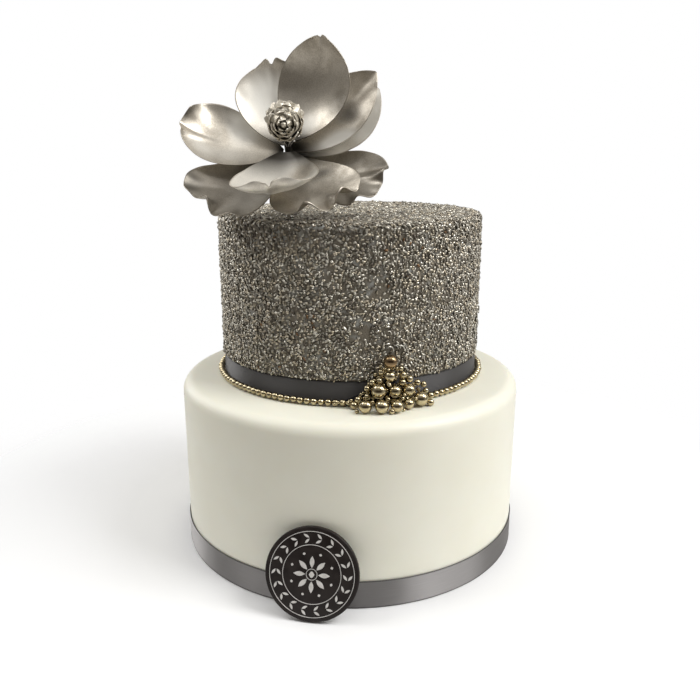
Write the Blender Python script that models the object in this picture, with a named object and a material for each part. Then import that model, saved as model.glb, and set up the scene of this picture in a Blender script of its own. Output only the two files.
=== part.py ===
"""Two-tier wedding cake with a sugar magnolia, at its real size in metres, +Z up.

The origin is the centre of the lower tier's underside, and the front of the cake
faces -Y. Each separate piece of the cake is one object:

* lower_tier and lower_ribbon: the smooth fondant tier and the wide satin ribbon
* upper_tier and upper_ribbon: the sprinkled tier and the narrow satin ribbon
* pearl_border: the string of sugar pearls round the foot of the upper tier
* pearl_01 to pearl_10 and pearl_small: the pile of pearls at the front
* flower_core, flower_stem and petal_*: the magnolia on top
* plaque: the round chocolate plaque that leans on the lower tier
"""

import math
from dataclasses import dataclass

import bmesh
import bpy
from mathutils import Matrix, Vector

MM = 0.001

# Driving dimensions.
GAP = 0.3 * MM
TIER_SEGMENTS = 64

LOWER_RADIUS = 103.0 * MM
LOWER_HEIGHT = 103.5 * MM
LOWER_EDGE_ROUND = 7.2 * MM

UPPER_CENTRE_Y = 8.0 * MM
UPPER_CORE_RADIUS = 77.9 * MM
UPPER_COAT_RADIUS = 80.9 * MM
UPPER_HEIGHT = 99.0 * MM
UPPER_EDGE_ROUND = 3.0 * MM

RIBBON_THICKNESS = 0.4 * MM
LOWER_RIBBON_WIDTH = 16.0 * MM
UPPER_RIBBON_WIDTH = 13.0 * MM

BORDER_PEARL_RADIUS = 2.0 * MM
BORDER_NECK = 0.6
BORDER_SIDES = 4

PLAQUE_RADIUS = 25.0 * MM
PLAQUE_THICKNESS = 3.0 * MM
PLAQUE_LEAN = 14.0
PLAQUE_ANGLE = -10.2

FLOWER_HEART = Vector((-34.5, -24.0, 239.8)) * MM
FLOWER_ELEVATION = 40.0
PETAL_THICKNESS = 1.0 * MM
PETAL_ROOT_RADIUS = 3.0 * MM
PETAL_ROWS = 11
PETAL_COLUMNS = 7

CORE_RADIUS = 11.0 * MM
CORE_FOOT = 4.0 * MM
CORE_TOP = 29.5 * MM
CORE_FULLNESS = 1.2
CORE_RINGS = 8
CORE_SIDES = 18
CORE_BRACT_RELIEF = 0.05
RECEPTACLE_RADIUS = 2.0 * MM
RECEPTACLE_TAIL = 13.5 * MM
STEM_RADIUS = 2.2 * MM
STEM_STEPS = 8

# Where the pieces meet.
UPPER_FOOT = LOWER_HEIGHT + GAP
UPPER_TOP = UPPER_FOOT + UPPER_HEIGHT
UPPER_RIBBON_TOP = UPPER_FOOT + UPPER_RIBBON_WIDTH
UPPER_RIBBON_OUTER = UPPER_CORE_RADIUS + GAP + RIBBON_THICKNESS
BORDER_RING_RADIUS = UPPER_RIBBON_OUTER + GAP + BORDER_PEARL_RADIUS
UPPER_AXIS = Vector((0.0, UPPER_CENTRE_Y, 0.0))


@dataclass(frozen=True)
class PearlSpot:
    """A large pearl of the pile, placed round the upper tier's axis."""

    angle: float
    distance: float
    height: float
    radius: float


# Degrees from the front, then millimetres: distance from the axis, height of the
# centre over the lower tier, radius.
PEARL_PILE = (
    PearlSpot(14.2, 86.8, 26.3, 3.75),
    PearlSpot(14.2, 86.2, 18.0, 3.05),
    PearlSpot(10.0, 87.3, 10.6, 4.20),
    PearlSpot(16.0, 86.7, 9.7, 3.55),
    PearlSpot(21.3, 86.7, 9.5, 3.55),
    PearlSpot(25.5, 88.6, 4.4, 4.05),
    PearlSpot(5.0, 91.8, 3.9, 3.55),
    PearlSpot(10.3, 93.3, 4.0, 3.70),
    PearlSpot(15.3, 93.6, 3.7, 3.40),
    PearlSpot(20.3, 90.3, 3.2, 2.90),
)

# The bank of small pearls behind them climbs the tier's side as a wedge.
BANK_INNER = UPPER_COAT_RADIUS + 1.5 * GAP
BANK_THICKNESS = 0.6 * MM
BANK_BUMP = 1.1 * MM
BANK_FOOT = LOWER_HEIGHT + 4.9 * MM
BANK_TOP = LOWER_HEIGHT + 25.5 * MM
BANK_FOOT_ANGLES = (1.5, 31.5)
BANK_TOP_ANGLES = (12.0, 17.5)
BANK_COLUMNS = 10
BANK_ROWS = 6


@dataclass(frozen=True)
class Frill:
    """A wave of a petal's rim: where it is round the rim, how high and how wide."""

    angle: float
    lift: float
    spread: float


@dataclass(frozen=True)
class Petal:
    """One petal: angles in degrees, lengths in millimetres.

    clock is the direction round the flower's axis, opening the angle away from it,
    drop how far behind the heart the petal is set. narrow_root and narrow_tip say
    how fast the width falls off towards the two ends. arc is the whole turn of the
    midrib, cup the half angle of the hollow across it, bend the sideways sweep and
    curl the extra turn of the last third.
    """

    name: str
    drop: float
    clock: float
    opening: float
    roll: float
    length: float
    width: float
    narrow_root: float
    narrow_tip: float
    arc: float
    cup: float
    bend: float
    curl: float
    frills: tuple = ()


PETALS = (
    Petal("petal_back", 0.0, 27.0, 53.5, -9.5, 62.0, 44.5, 0.91, 0.68, 78.0, 23.0, 2.0, 8.0),
    Petal("petal_back_left", 4.0, -15.0, 70.0, -2.5, 51.5, 45.0, 0.93, 0.68, 41.5, 26.5, -13.5, 0.0),
    Petal("petal_left", 7.5, -78.5, 78.0, 0.0, 61.5, 41.0, 0.97, 0.62, 50.0, 30.0, 2.0, 1.0,
          (Frill(0.0, 2.5, 12.0),)),
    Petal("petal_right", 7.5, 52.0, 70.5, 1.5, 65.0, 41.0, 0.93, 0.89, 40.5, 29.5, -6.5, -3.0),
    Petal("petal_right_outer", 10.0, 52.5, 78.5, 3.0, 63.0, 44.0, 0.94, 0.76, 38.0, 27.0, 1.5, 1.0),
    Petal("petal_low_right", 11.5, 113.5, 87.0, -4.0, 55.0, 43.0, 0.94, 0.37, 46.0, 24.0, -12.0, 4.0,
          (Frill(18.0, 4.0, 10.0), Frill(-28.0, 4.0, 11.0))),
    Petal("petal_low_front", 8.5, 153.0, 75.5, 0.0, 50.0, 53.0, 0.95, 0.43, 50.0, 25.5, -2.0, 1.0,
          (Frill(-19.0, 5.0, 10.0), Frill(28.0, 4.0, 12.0))),
    Petal("petal_front", 3.0, 187.0, 60.0, 11.0, 57.5, 50.5, 0.79, 0.52, 70.0, 37.0, 13.0, 32.0,
          (Frill(10.0, 4.0, 11.0), Frill(-15.0, 4.0, 9.0))),
    Petal("petal_low_left", 10.5, 232.0, 79.5, 6.0, 61.5, 47.0, 0.95, 0.37, 59.5, 22.5, 0.5, 4.0,
          (Frill(-24.0, -2.0, 10.0), Frill(9.0, 3.5, 9.0))),
)

MIDRIB_STEPS = 48
CURL_START = 0.7
FRILL_CENTRE = 0.45


def clear_scene():
    """Remove every object that the scene starts with."""
    for item in list(bpy.data.objects):
        bpy.data.objects.remove(item, do_unlink=True)


def make_material(name, colour, roughness, metallic=0.0):
    """A Principled material in one colour."""
    material = bpy.data.materials.new(name)
    material.use_nodes = True
    shader = material.node_tree.nodes["Principled BSDF"]
    shader.inputs["Base Color"].default_value = (*colour, 1.0)
    shader.inputs["Roughness"].default_value = roughness
    shader.inputs["Metallic"].default_value = metallic
    return material


def add_piece(name, work, material, sharp_angle=40.0):
    """Turn a bmesh into a named, smooth-shaded object."""
    mesh = bpy.data.meshes.new(name)
    work.to_mesh(mesh)
    work.free()
    mesh.shade_smooth()
    mesh.set_sharp_from_angle(angle=math.radians(sharp_angle))
    mesh.materials.append(material)
    piece = bpy.data.objects.new(name, mesh)
    bpy.context.scene.collection.objects.link(piece)
    return piece


def quarter_round(radius, top, edge, steps):
    """Profile points of a rounded top edge, from the side over to the top."""
    points = []
    for step in range(steps + 1):
        turn = math.radians(90.0) * step / steps
        points.append((radius - edge + edge * math.cos(turn), top - edge + edge * math.sin(turn)))
    return points


def spun(profile, steps, closed=False):
    """Spin a profile of (radius, height) points about the Z axis into a closed body."""
    work = bmesh.new()
    corners = [work.verts.new((radius, 0.0, height)) for radius, height in profile]
    for first, second in zip(corners, corners[1:]):
        work.edges.new((first, second))
    if closed:
        work.edges.new((corners[-1], corners[0]))
    bmesh.ops.spin(work, geom=work.verts[:] + work.edges[:], cent=(0, 0, 0), axis=(0, 0, 1), dvec=(0, 0, 0),
                   angle=math.tau, steps=steps, use_merge=True, use_duplicate=False)
    bmesh.ops.remove_doubles(work, verts=work.verts[:], dist=0.00001)
    bmesh.ops.recalc_face_normals(work, faces=work.faces[:])
    return work


def moved(work, matrix):
    """Transform the whole bmesh and return it."""
    bmesh.ops.transform(work, matrix=matrix, verts=work.verts[:])
    return work


def around_upper(angle, distance, height):
    """A point given by degrees from the front, distance from the upper tier's axis and height."""
    turn = math.radians(angle)
    return UPPER_AXIS + Vector((distance * math.sin(turn), -distance * math.cos(turn), height))


def build_lower_tier(material):
    """The smooth fondant tier, flat below and rounded over its top edge."""
    profile = [(0.0, 0.0), (LOWER_RADIUS, 0.0)]
    profile += quarter_round(LOWER_RADIUS, LOWER_HEIGHT, LOWER_EDGE_ROUND, 4)
    profile.append((0.0, LOWER_HEIGHT))
    add_piece("lower_tier", spun(profile, TIER_SEGMENTS), material)


def build_upper_tier(material):
    """The upper tier: a bare foot behind the ribbon, and the coat of sprinkles above it."""
    coat_foot = UPPER_RIBBON_TOP + GAP
    profile = [(0.0, UPPER_FOOT), (UPPER_CORE_RADIUS, UPPER_FOOT)]
    profile += [(UPPER_CORE_RADIUS, coat_foot), (UPPER_COAT_RADIUS, coat_foot)]
    profile += quarter_round(UPPER_COAT_RADIUS, UPPER_TOP, UPPER_EDGE_ROUND, 2)
    profile.append((0.0, UPPER_TOP))
    work = moved(spun(profile, TIER_SEGMENTS), Matrix.Translation(UPPER_AXIS))
    add_piece("upper_tier", work, material)


def build_ribbon(name, tier_radius, foot, width, centre, material):
    """A satin ribbon wrapped once round a tier."""
    inner = tier_radius + GAP
    outer = inner + RIBBON_THICKNESS
    profile = [(inner, foot), (outer, foot), (outer, foot + width), (inner, foot + width)]
    work = moved(spun(profile, TIER_SEGMENTS, closed=True), Matrix.Translation(centre))
    add_piece(name, work, material)


def build_pearl_border(material):
    """The string of small pearls, fattest at each pearl and waisted between them."""
    pearl_pitch = 2.04 * BORDER_PEARL_RADIUS
    pearls = round(math.tau * BORDER_RING_RADIUS / pearl_pitch)
    height = UPPER_FOOT + BORDER_PEARL_RADIUS
    profile = []
    for side in range(BORDER_SIDES):
        turn = math.tau * side / BORDER_SIDES
        profile.append((BORDER_RING_RADIUS + BORDER_PEARL_RADIUS * math.cos(turn),
                        height + BORDER_PEARL_RADIUS * math.sin(turn)))
    steps = 2 * pearls
    work = spun(profile, steps, closed=True)
    for corner in work.verts:
        station = round(math.atan2(corner.co.y, corner.co.x) / math.tau * steps)
        if station % 2:
            outward = Vector((corner.co.x, corner.co.y, 0.0)).normalized()
            middle = outward * BORDER_RING_RADIUS + Vector((0.0, 0.0, height))
            corner.co = middle + (corner.co - middle) * BORDER_NECK
    add_piece("pearl_border", moved(work, Matrix.Translation(UPPER_AXIS)), material, 80.0)


def build_pearl_pile(material):
    """The ten large pearls of the pile at the front."""
    for number, spot in enumerate(PEARL_PILE, start=1):
        centre = around_upper(spot.angle, spot.distance * MM, LOWER_HEIGHT + spot.height * MM)
        work = bmesh.new()
        bmesh.ops.create_icosphere(work, subdivisions=2, radius=spot.radius * MM)
        add_piece(f"pearl_{number:02d}", moved(work, Matrix.Translation(centre)), material, 80.0)


def build_small_pearls(material):
    """The bank of small pearls behind the large ones, as one lumpy wedge."""
    work = bmesh.new()
    bmesh.ops.create_grid(work, x_segments=BANK_COLUMNS, y_segments=BANK_ROWS, size=1.0)
    front = work.faces[:]
    back = bmesh.ops.extrude_face_region(work, geom=front, use_keep_orig=True)
    back_corners = {item for item in back["geom"] if isinstance(item, bmesh.types.BMVert)}
    for corner in work.verts:
        across = 0.5 + 0.5 * corner.co.x
        up = 0.5 + 0.5 * corner.co.y
        left = BANK_FOOT_ANGLES[0] + (BANK_TOP_ANGLES[0] - BANK_FOOT_ANGLES[0]) * up
        right = BANK_FOOT_ANGLES[1] + (BANK_TOP_ANGLES[1] - BANK_FOOT_ANGLES[1]) * up
        distance = BANK_INNER
        if corner not in back_corners:
            lump = math.sin(math.pi * BANK_COLUMNS / 2 * across) * math.sin(math.pi * BANK_ROWS / 2 * up)
            distance += BANK_THICKNESS + BANK_BUMP * abs(lump)
        height = BANK_FOOT + (BANK_TOP - BANK_FOOT) * up
        corner.co = around_upper(left + (right - left) * across, distance, height)
    bmesh.ops.recalc_face_normals(work, faces=work.faces[:])
    add_piece("pearl_small", work, material, 80.0)


def flower_axes():
    """The flower's axis, which leans to the front, and the two directions across it."""
    lean = math.radians(FLOWER_ELEVATION)
    axis = Vector((0.0, -math.cos(lean), math.sin(lean)))
    up = Vector((0.0, math.sin(lean), math.cos(lean)))
    return axis, up, Vector((1.0, 0.0, 0.0))


def petal_width(petal, along):
    """Half the petal's width at a place along it, 0 at the root and 1 at the tip."""
    place = 0.03 + 0.965 * along
    widest = petal.narrow_root / (petal.narrow_root + petal.narrow_tip)
    rise = (place / widest) ** petal.narrow_root
    fall = ((1.0 - place) / (1.0 - widest)) ** petal.narrow_tip
    return 0.5 * petal.width * MM * rise * fall


def midrib_angles(petal, along):
    """The midrib's turn towards the flower's axis and its sideways turn, in radians."""
    tip_turn = max(0.0, (along - CURL_START) / (1.0 - CURL_START)) ** 2
    turn = math.radians(petal.arc) * (along - 0.5) + math.radians(petal.curl) * tip_turn
    return turn, math.radians(petal.bend) * (along - 0.5)


def midrib_point(petal, along):
    """The midrib's point, in the petal's own axes, by adding up short steps."""
    point = Vector((0.0, 0.0, 0.0))
    step = petal.length * MM / MIDRIB_STEPS
    whole = along * MIDRIB_STEPS
    for number in range(MIDRIB_STEPS):
        share = min(1.0, whole - number)
        if share <= 0.0:
            break
        turn, sweep = midrib_angles(petal, (number + 0.5) / MIDRIB_STEPS)
        direction = Vector((math.cos(turn) * math.cos(sweep), math.cos(turn) * math.sin(sweep), math.sin(turn)))
        point += direction * step * share
    return point


def frill_lift(petal, along, across, half_width):
    """How far the rim's waves lift this point of the petal."""
    rim = 1.0 - (1.0 - abs(across) ** 3) * (1.0 - max(0.0, (along - 0.4) / 0.6) ** 4)
    rim *= min(1.0, 2.5 * along)
    direction = math.degrees(math.atan2(half_width * across, (along - FRILL_CENTRE) * petal.length * MM))
    lift = 0.0
    for frill in petal.frills:
        away = (direction - frill.angle + 180.0) % 360.0 - 180.0
        lift += frill.lift * MM * rim * math.exp(-(away / frill.spread) ** 2)
    return lift


def petal_frame(petal):
    """The petal's origin and its three axes: along it, across it, and out of its hollow."""
    axis, up, right = flower_axes()
    clock = math.radians(petal.clock)
    opening = math.radians(petal.opening)
    roll = math.radians(petal.roll)
    outward = up * math.cos(clock) + right * math.sin(clock)
    along = axis * math.cos(opening) + outward * math.sin(opening)
    hollow = axis * math.sin(opening) - outward * math.cos(opening)
    side = hollow.cross(along)
    across = side * math.cos(roll) + hollow * math.sin(roll)
    hollow = hollow * math.cos(roll) - side * math.sin(roll)
    origin = FLOWER_HEART + outward * PETAL_ROOT_RADIUS - axis * petal.drop * MM
    return origin, along, across, hollow


def petal_point(petal, frame, along, across):
    """A point of the petal's middle surface; along runs 0 to 1, across -1 to 1."""
    origin, forward, sideways, hollow = frame
    half_width = petal_width(petal, along)
    bulge = math.sin(math.pi * min(1.0, along * 0.85 + 0.1))
    cup = math.radians(petal.cup) * (0.55 + 0.45 * bulge)
    offset = half_width / cup * math.sin(cup * across)
    lift = half_width / cup * (1.0 - math.cos(cup * across))
    lift += frill_lift(petal, along, across, half_width)
    turn, sweep = midrib_angles(petal, along)
    point = midrib_point(petal, along)
    point += Vector((-math.sin(turn) * lift, 0.0, math.cos(turn) * lift))
    point += Vector((-math.sin(sweep) * offset, math.cos(sweep) * offset, 0.0))
    return origin + forward * point.x + sideways * point.y + hollow * point.z


def build_petal(petal, material):
    """One petal, shaped from a grid and given its thickness."""
    frame = petal_frame(petal)
    work = bmesh.new()
    bmesh.ops.create_grid(work, x_segments=PETAL_ROWS, y_segments=PETAL_COLUMNS, size=1.0)
    for corner in work.verts:
        corner.co = petal_point(petal, frame, 0.5 + 0.5 * corner.co.x, corner.co.y)
    piece = add_piece(petal.name, work, material, 60.0)
    wall = piece.modifiers.new("thickness", "SOLIDIFY")
    wall.thickness = PETAL_THICKNESS
    wall.offset = 0.0


def build_flower_core(material):
    """The cone of bracts on its receptacle, turned about the flower's axis."""
    axis, up, right = flower_axes()
    profile = [(0.0, -RECEPTACLE_TAIL), (RECEPTACLE_RADIUS, -RECEPTACLE_TAIL), (RECEPTACLE_RADIUS, CORE_FOOT)]
    for ring in range(1, CORE_RINGS + 1):
        share = ring / CORE_RINGS
        radius = CORE_RADIUS * math.sin(math.pi * share ** CORE_FULLNESS)
        height = CORE_FOOT + (CORE_TOP - CORE_FOOT) * 0.5 * (1.0 - math.cos(math.pi * share))
        profile.append((radius if ring < CORE_RINGS else 0.0, height))
    work = spun(profile, CORE_SIDES)
    for corner in work.verts:
        radius = math.hypot(corner.co.x, corner.co.y)
        if radius > RECEPTACLE_RADIUS * 1.2:
            row = round(corner.co.z / (CORE_TOP - CORE_FOOT) * CORE_RINGS)
            wave = math.cos(CORE_SIDES / 3 * math.atan2(corner.co.y, corner.co.x) + row * math.pi)
            corner.co.x *= 1.0 + CORE_BRACT_RELIEF * wave
            corner.co.y *= 1.0 + CORE_BRACT_RELIEF * wave
    turned = Matrix((right, up, axis)).transposed().to_4x4()
    turned.translation = FLOWER_HEART
    add_piece("flower_core", moved(work, turned), material, 60.0)


def build_flower_stem(material):
    """The short stem that bends down from the receptacle to the cake."""
    axis = flower_axes()[0]
    start = FLOWER_HEART - axis * (RECEPTACLE_TAIL + 1.5 * GAP)
    foot = Vector((start.x, start.y + 9.0 * MM, UPPER_TOP + 1.5 * GAP))
    shoulder = start - axis * 6.0 * MM
    knee = Vector((foot.x, foot.y, shoulder.z))
    curve = bpy.data.curves.new("flower_stem", "CURVE")
    curve.dimensions = "3D"
    curve.bevel_depth = STEM_RADIUS
    curve.bevel_resolution = 2
    curve.use_fill_caps = True
    spline = curve.splines.new("POLY")
    spline.points.add(STEM_STEPS)
    for step, place in enumerate(spline.points):
        share = step / STEM_STEPS
        point = start * (1.0 - share) ** 3 + shoulder * 3.0 * share * (1.0 - share) ** 2
        point += knee * 3.0 * share ** 2 * (1.0 - share) + foot * share ** 3
        place.co = (*point, 1.0)
    curve.materials.append(material)
    bpy.context.scene.collection.objects.link(bpy.data.objects.new("flower_stem", curve))


def build_plaque(material):
    """The round plaque, standing on its edge and leaning back on the lower tier."""
    work = bmesh.new()
    bmesh.ops.create_cone(work, cap_ends=True, segments=40, radius1=PLAQUE_RADIUS, radius2=PLAQUE_RADIUS,
                          depth=PLAQUE_THICKNESS)
    rims = [edge for edge in work.edges if len({round(corner.co.z, 6) for corner in edge.verts}) == 1]
    bmesh.ops.bevel(work, geom=rims, offset=0.5 * MM, segments=1, profile=0.5, affect="EDGES", material=-1)
    lean = math.radians(PLAQUE_LEAN)
    half = PLAQUE_THICKNESS / 2
    top_back_reach = PLAQUE_RADIUS * math.sin(lean) + half * math.cos(lean)
    distance = LOWER_RADIUS + GAP + top_back_reach
    height = PLAQUE_RADIUS * math.cos(lean) + half * math.sin(lean)
    face_front = Matrix.Rotation(math.radians(90.0) - lean, 4, "X")
    stand = Matrix.Rotation(math.radians(PLAQUE_ANGLE), 4, "Z") @ Matrix.Translation((0.0, -distance, height))
    add_piece("plaque", moved(work, stand @ face_front), material)


def main():
    """Build the whole cake."""
    clear_scene()
    ivory = make_material("ivory_fondant", (0.84, 0.80, 0.68), 0.45)
    grey_satin = make_material("grey_satin", (0.23, 0.23, 0.24), 0.35)
    slate_satin = make_material("slate_satin", (0.09, 0.09, 0.11), 0.40)
    sprinkle = make_material("pewter_sprinkles", (0.33, 0.31, 0.27), 0.30, 0.9)
    pearl_gold = make_material("champagne_pearl", (0.55, 0.47, 0.31), 0.22, 1.0)
    petal_silver = make_material("silver_lustre", (0.62, 0.59, 0.55), 0.38, 0.9)
    core_silver = make_material("aged_silver_lustre", (0.52, 0.49, 0.44), 0.33, 0.9)
    stem_tape = make_material("silver_stem", (0.40, 0.38, 0.35), 0.5, 0.6)
    chocolate = make_material("dark_chocolate", (0.035, 0.026, 0.024), 0.5)

    build_lower_tier(ivory)
    build_ribbon("lower_ribbon", LOWER_RADIUS, GAP, LOWER_RIBBON_WIDTH, Vector((0.0, 0.0, 0.0)), grey_satin)
    build_upper_tier(sprinkle)
    build_ribbon("upper_ribbon", UPPER_CORE_RADIUS, UPPER_FOOT, UPPER_RIBBON_WIDTH, UPPER_AXIS, slate_satin)
    build_pearl_border(pearl_gold)
    build_pearl_pile(pearl_gold)
    build_small_pearls(pearl_gold)
    build_flower_core(core_silver)
    build_flower_stem(stem_tape)
    for petal in PETALS:
        build_petal(petal, petal_silver)
    build_plaque(chocolate)


main()
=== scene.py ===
"""Looks of the two-tier wedding cake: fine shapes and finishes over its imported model.

Everything is in metres with +Z up, and the front of the cake faces -Y. Sizes and places
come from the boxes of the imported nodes; the flower's forms repeat the design values of
its construction. Each sub-assembly is a class that models its pieces and dresses them.
"""

import logging
import math
from dataclasses import dataclass, field
from enum import Enum
from functools import cached_property

import bmesh
import bpy
import numpy as np
from mathutils import Matrix, Vector, noise


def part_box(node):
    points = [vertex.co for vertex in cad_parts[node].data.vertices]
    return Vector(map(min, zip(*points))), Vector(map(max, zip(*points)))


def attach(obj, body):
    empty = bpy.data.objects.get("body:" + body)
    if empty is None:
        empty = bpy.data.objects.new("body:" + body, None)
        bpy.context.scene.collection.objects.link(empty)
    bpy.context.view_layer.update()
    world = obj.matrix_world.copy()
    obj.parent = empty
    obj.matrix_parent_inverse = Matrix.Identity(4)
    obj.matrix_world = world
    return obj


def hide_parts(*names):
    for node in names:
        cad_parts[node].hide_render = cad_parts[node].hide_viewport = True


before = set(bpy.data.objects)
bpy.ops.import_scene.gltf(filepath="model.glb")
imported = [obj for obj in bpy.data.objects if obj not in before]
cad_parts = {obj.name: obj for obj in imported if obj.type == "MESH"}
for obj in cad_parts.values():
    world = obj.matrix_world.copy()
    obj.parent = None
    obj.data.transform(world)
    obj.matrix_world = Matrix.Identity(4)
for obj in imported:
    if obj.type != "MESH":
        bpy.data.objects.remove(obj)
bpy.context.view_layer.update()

log = logging.getLogger("cake")

Pair = tuple[float, float]
Colour = Triple = tuple[float, float, float]
Profile = list[Pair]
Work = bmesh.types.BMesh
Piece = bpy.types.Object
Material = bpy.types.Material
Node = bpy.types.Node
Outputs = bpy.types.bpy_prop_collection
Socket = bpy.types.NodeSocket
Tree = bpy.types.NodeTree
Rows = np.ndarray
Feed = Socket | Piece | Colour | float | str
Feeds = dict[str | int, Feed]

MM = 0.001
BODY = "root"
SEED = 1806
ORIGIN = Vector((0.0, 0.0, 0.0)).freeze()


class Slot(Enum):
    """The material slots."""

    FONDANT = "ivory_fondant"
    GREY_SATIN = "grey_satin"
    SLATE_SATIN = "slate_satin"
    SPRINKLES = "pewter_sprinkles"
    PEARL = "champagne_pearl"
    LUSTRE = "silver_lustre"
    AGED_LUSTRE = "aged_silver_lustre"
    STEM = "silver_stem"
    CHOCOLATE = "dark_chocolate"


# ----- Shader wiring -----

class Wiring:
    """Adds and joins the nodes of one shader tree."""

    def __init__(self, tree: Tree) -> None:
        """Keep the tree that the nodes go into."""
        self.tree = tree

    def feed(self, socket: Socket, value: Feed) -> None:
        """Join a socket to another one, or set its value.

        Args:
            socket: the input to fill.
            value: an output socket, a number, or a colour or vector.
        """
        if isinstance(value, Socket):
            self.tree.links.new(value, socket)
        elif socket.type == "RGBA":
            socket.default_value = (*value[:3], 1.0)
        else:
            socket.default_value = value

    def fill(self, node: Node, inputs: Feeds) -> Node:
        """Feed several inputs of a node.

        Args:
            node: the node.
            inputs: what to feed, by each input's name or number.

        Returns:
            The same node.
        """
        for key, value in inputs.items():
            self.feed(node.inputs[key], value)
        return node

    def add(self, kind: str, inputs: Feeds | None = None, **settings: str | bool) -> Node:
        """Add a node.

        Args:
            kind: the node's type name.
            inputs: what to feed to its inputs, by name or number.
            settings: its other properties.

        Returns:
            The new node.
        """
        node = self.tree.nodes.new(kind)
        for key, value in settings.items():
            setattr(node, key, value)
        return self.fill(node, inputs or {})

    def math(self, operation: str, *values: Feed, clamp: bool = False) -> Socket:
        """One step of arithmetic; returns its result socket."""
        node = self.add("ShaderNodeMath", dict(enumerate(values)), operation=operation, use_clamp=clamp)
        return node.outputs[0]

    def mix(self, share: Feed, first: Feed, second: Feed) -> Socket:
        """Blend two colours by a share from 0 to 1; returns the colour socket."""
        blend = self.add("ShaderNodeMix", {0: share}, data_type="RGBA")
        return self.fill(blend, {6: first, 7: second}).outputs[2]

    def spread(self, value: Feed, low: float, high: float, start: float = 0.0,
               end: float = 1.0) -> Socket:
        """Map a value from the range low..high to start..end, without going past either."""
        wanted = {0: value, 1: low, 2: high, 3: start, 4: end}
        return self.add("ShaderNodeMapRange", wanted, clamp=True).outputs[0]

    def clouds(self, place: Feed, size: float, detail: float = 2.0) -> Socket:
        """Soft noise about 0.5 whose lumps are size metres wide; returns its value."""
        wanted = {"Vector": place, "Scale": 1.0 / size, "Detail": detail, "Roughness": 0.55}
        return self.add("ShaderNodeTexNoise", wanted).outputs["Fac"]

    def grain(self, place: Feed, scale: Feed, detail: float) -> Socket:
        """Noise with scale lumps to the metre; returns its value."""
        wanted = {"Vector": place, "Scale": scale, "Detail": detail}
        return self.add("ShaderNodeTexNoise", wanted).outputs["Fac"]

    def bump(self, height: Feed, depth: float) -> Socket:
        """A normal from a height of 0 to 1 that stands for depth metres."""
        wanted = {"Height": height, "Distance": depth, "Strength": 1.0}
        return self.add("ShaderNodeBump", wanted).outputs["Normal"]

    def object_place(self) -> Socket:
        """The surface point in the piece's own metres."""
        return self.add("ShaderNodeTexCoord").outputs["Object"]

    def mark(self, name: str) -> Socket:
        """The value that a piece's mesh carries under a name."""
        return self.add("ShaderNodeAttribute", attribute_name=name).outputs["Fac"]

    def group(self, tree: Tree, inputs: Feeds) -> Outputs:
        """Place a shared group.

        Args:
            tree: the group.
            inputs: what to feed to it, by socket name.

        Returns:
            What it puts out, by socket name.
        """
        node = self.tree.nodes.new("ShaderNodeGroup")
        node.node_tree = tree
        return self.fill(node, inputs).outputs


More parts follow.
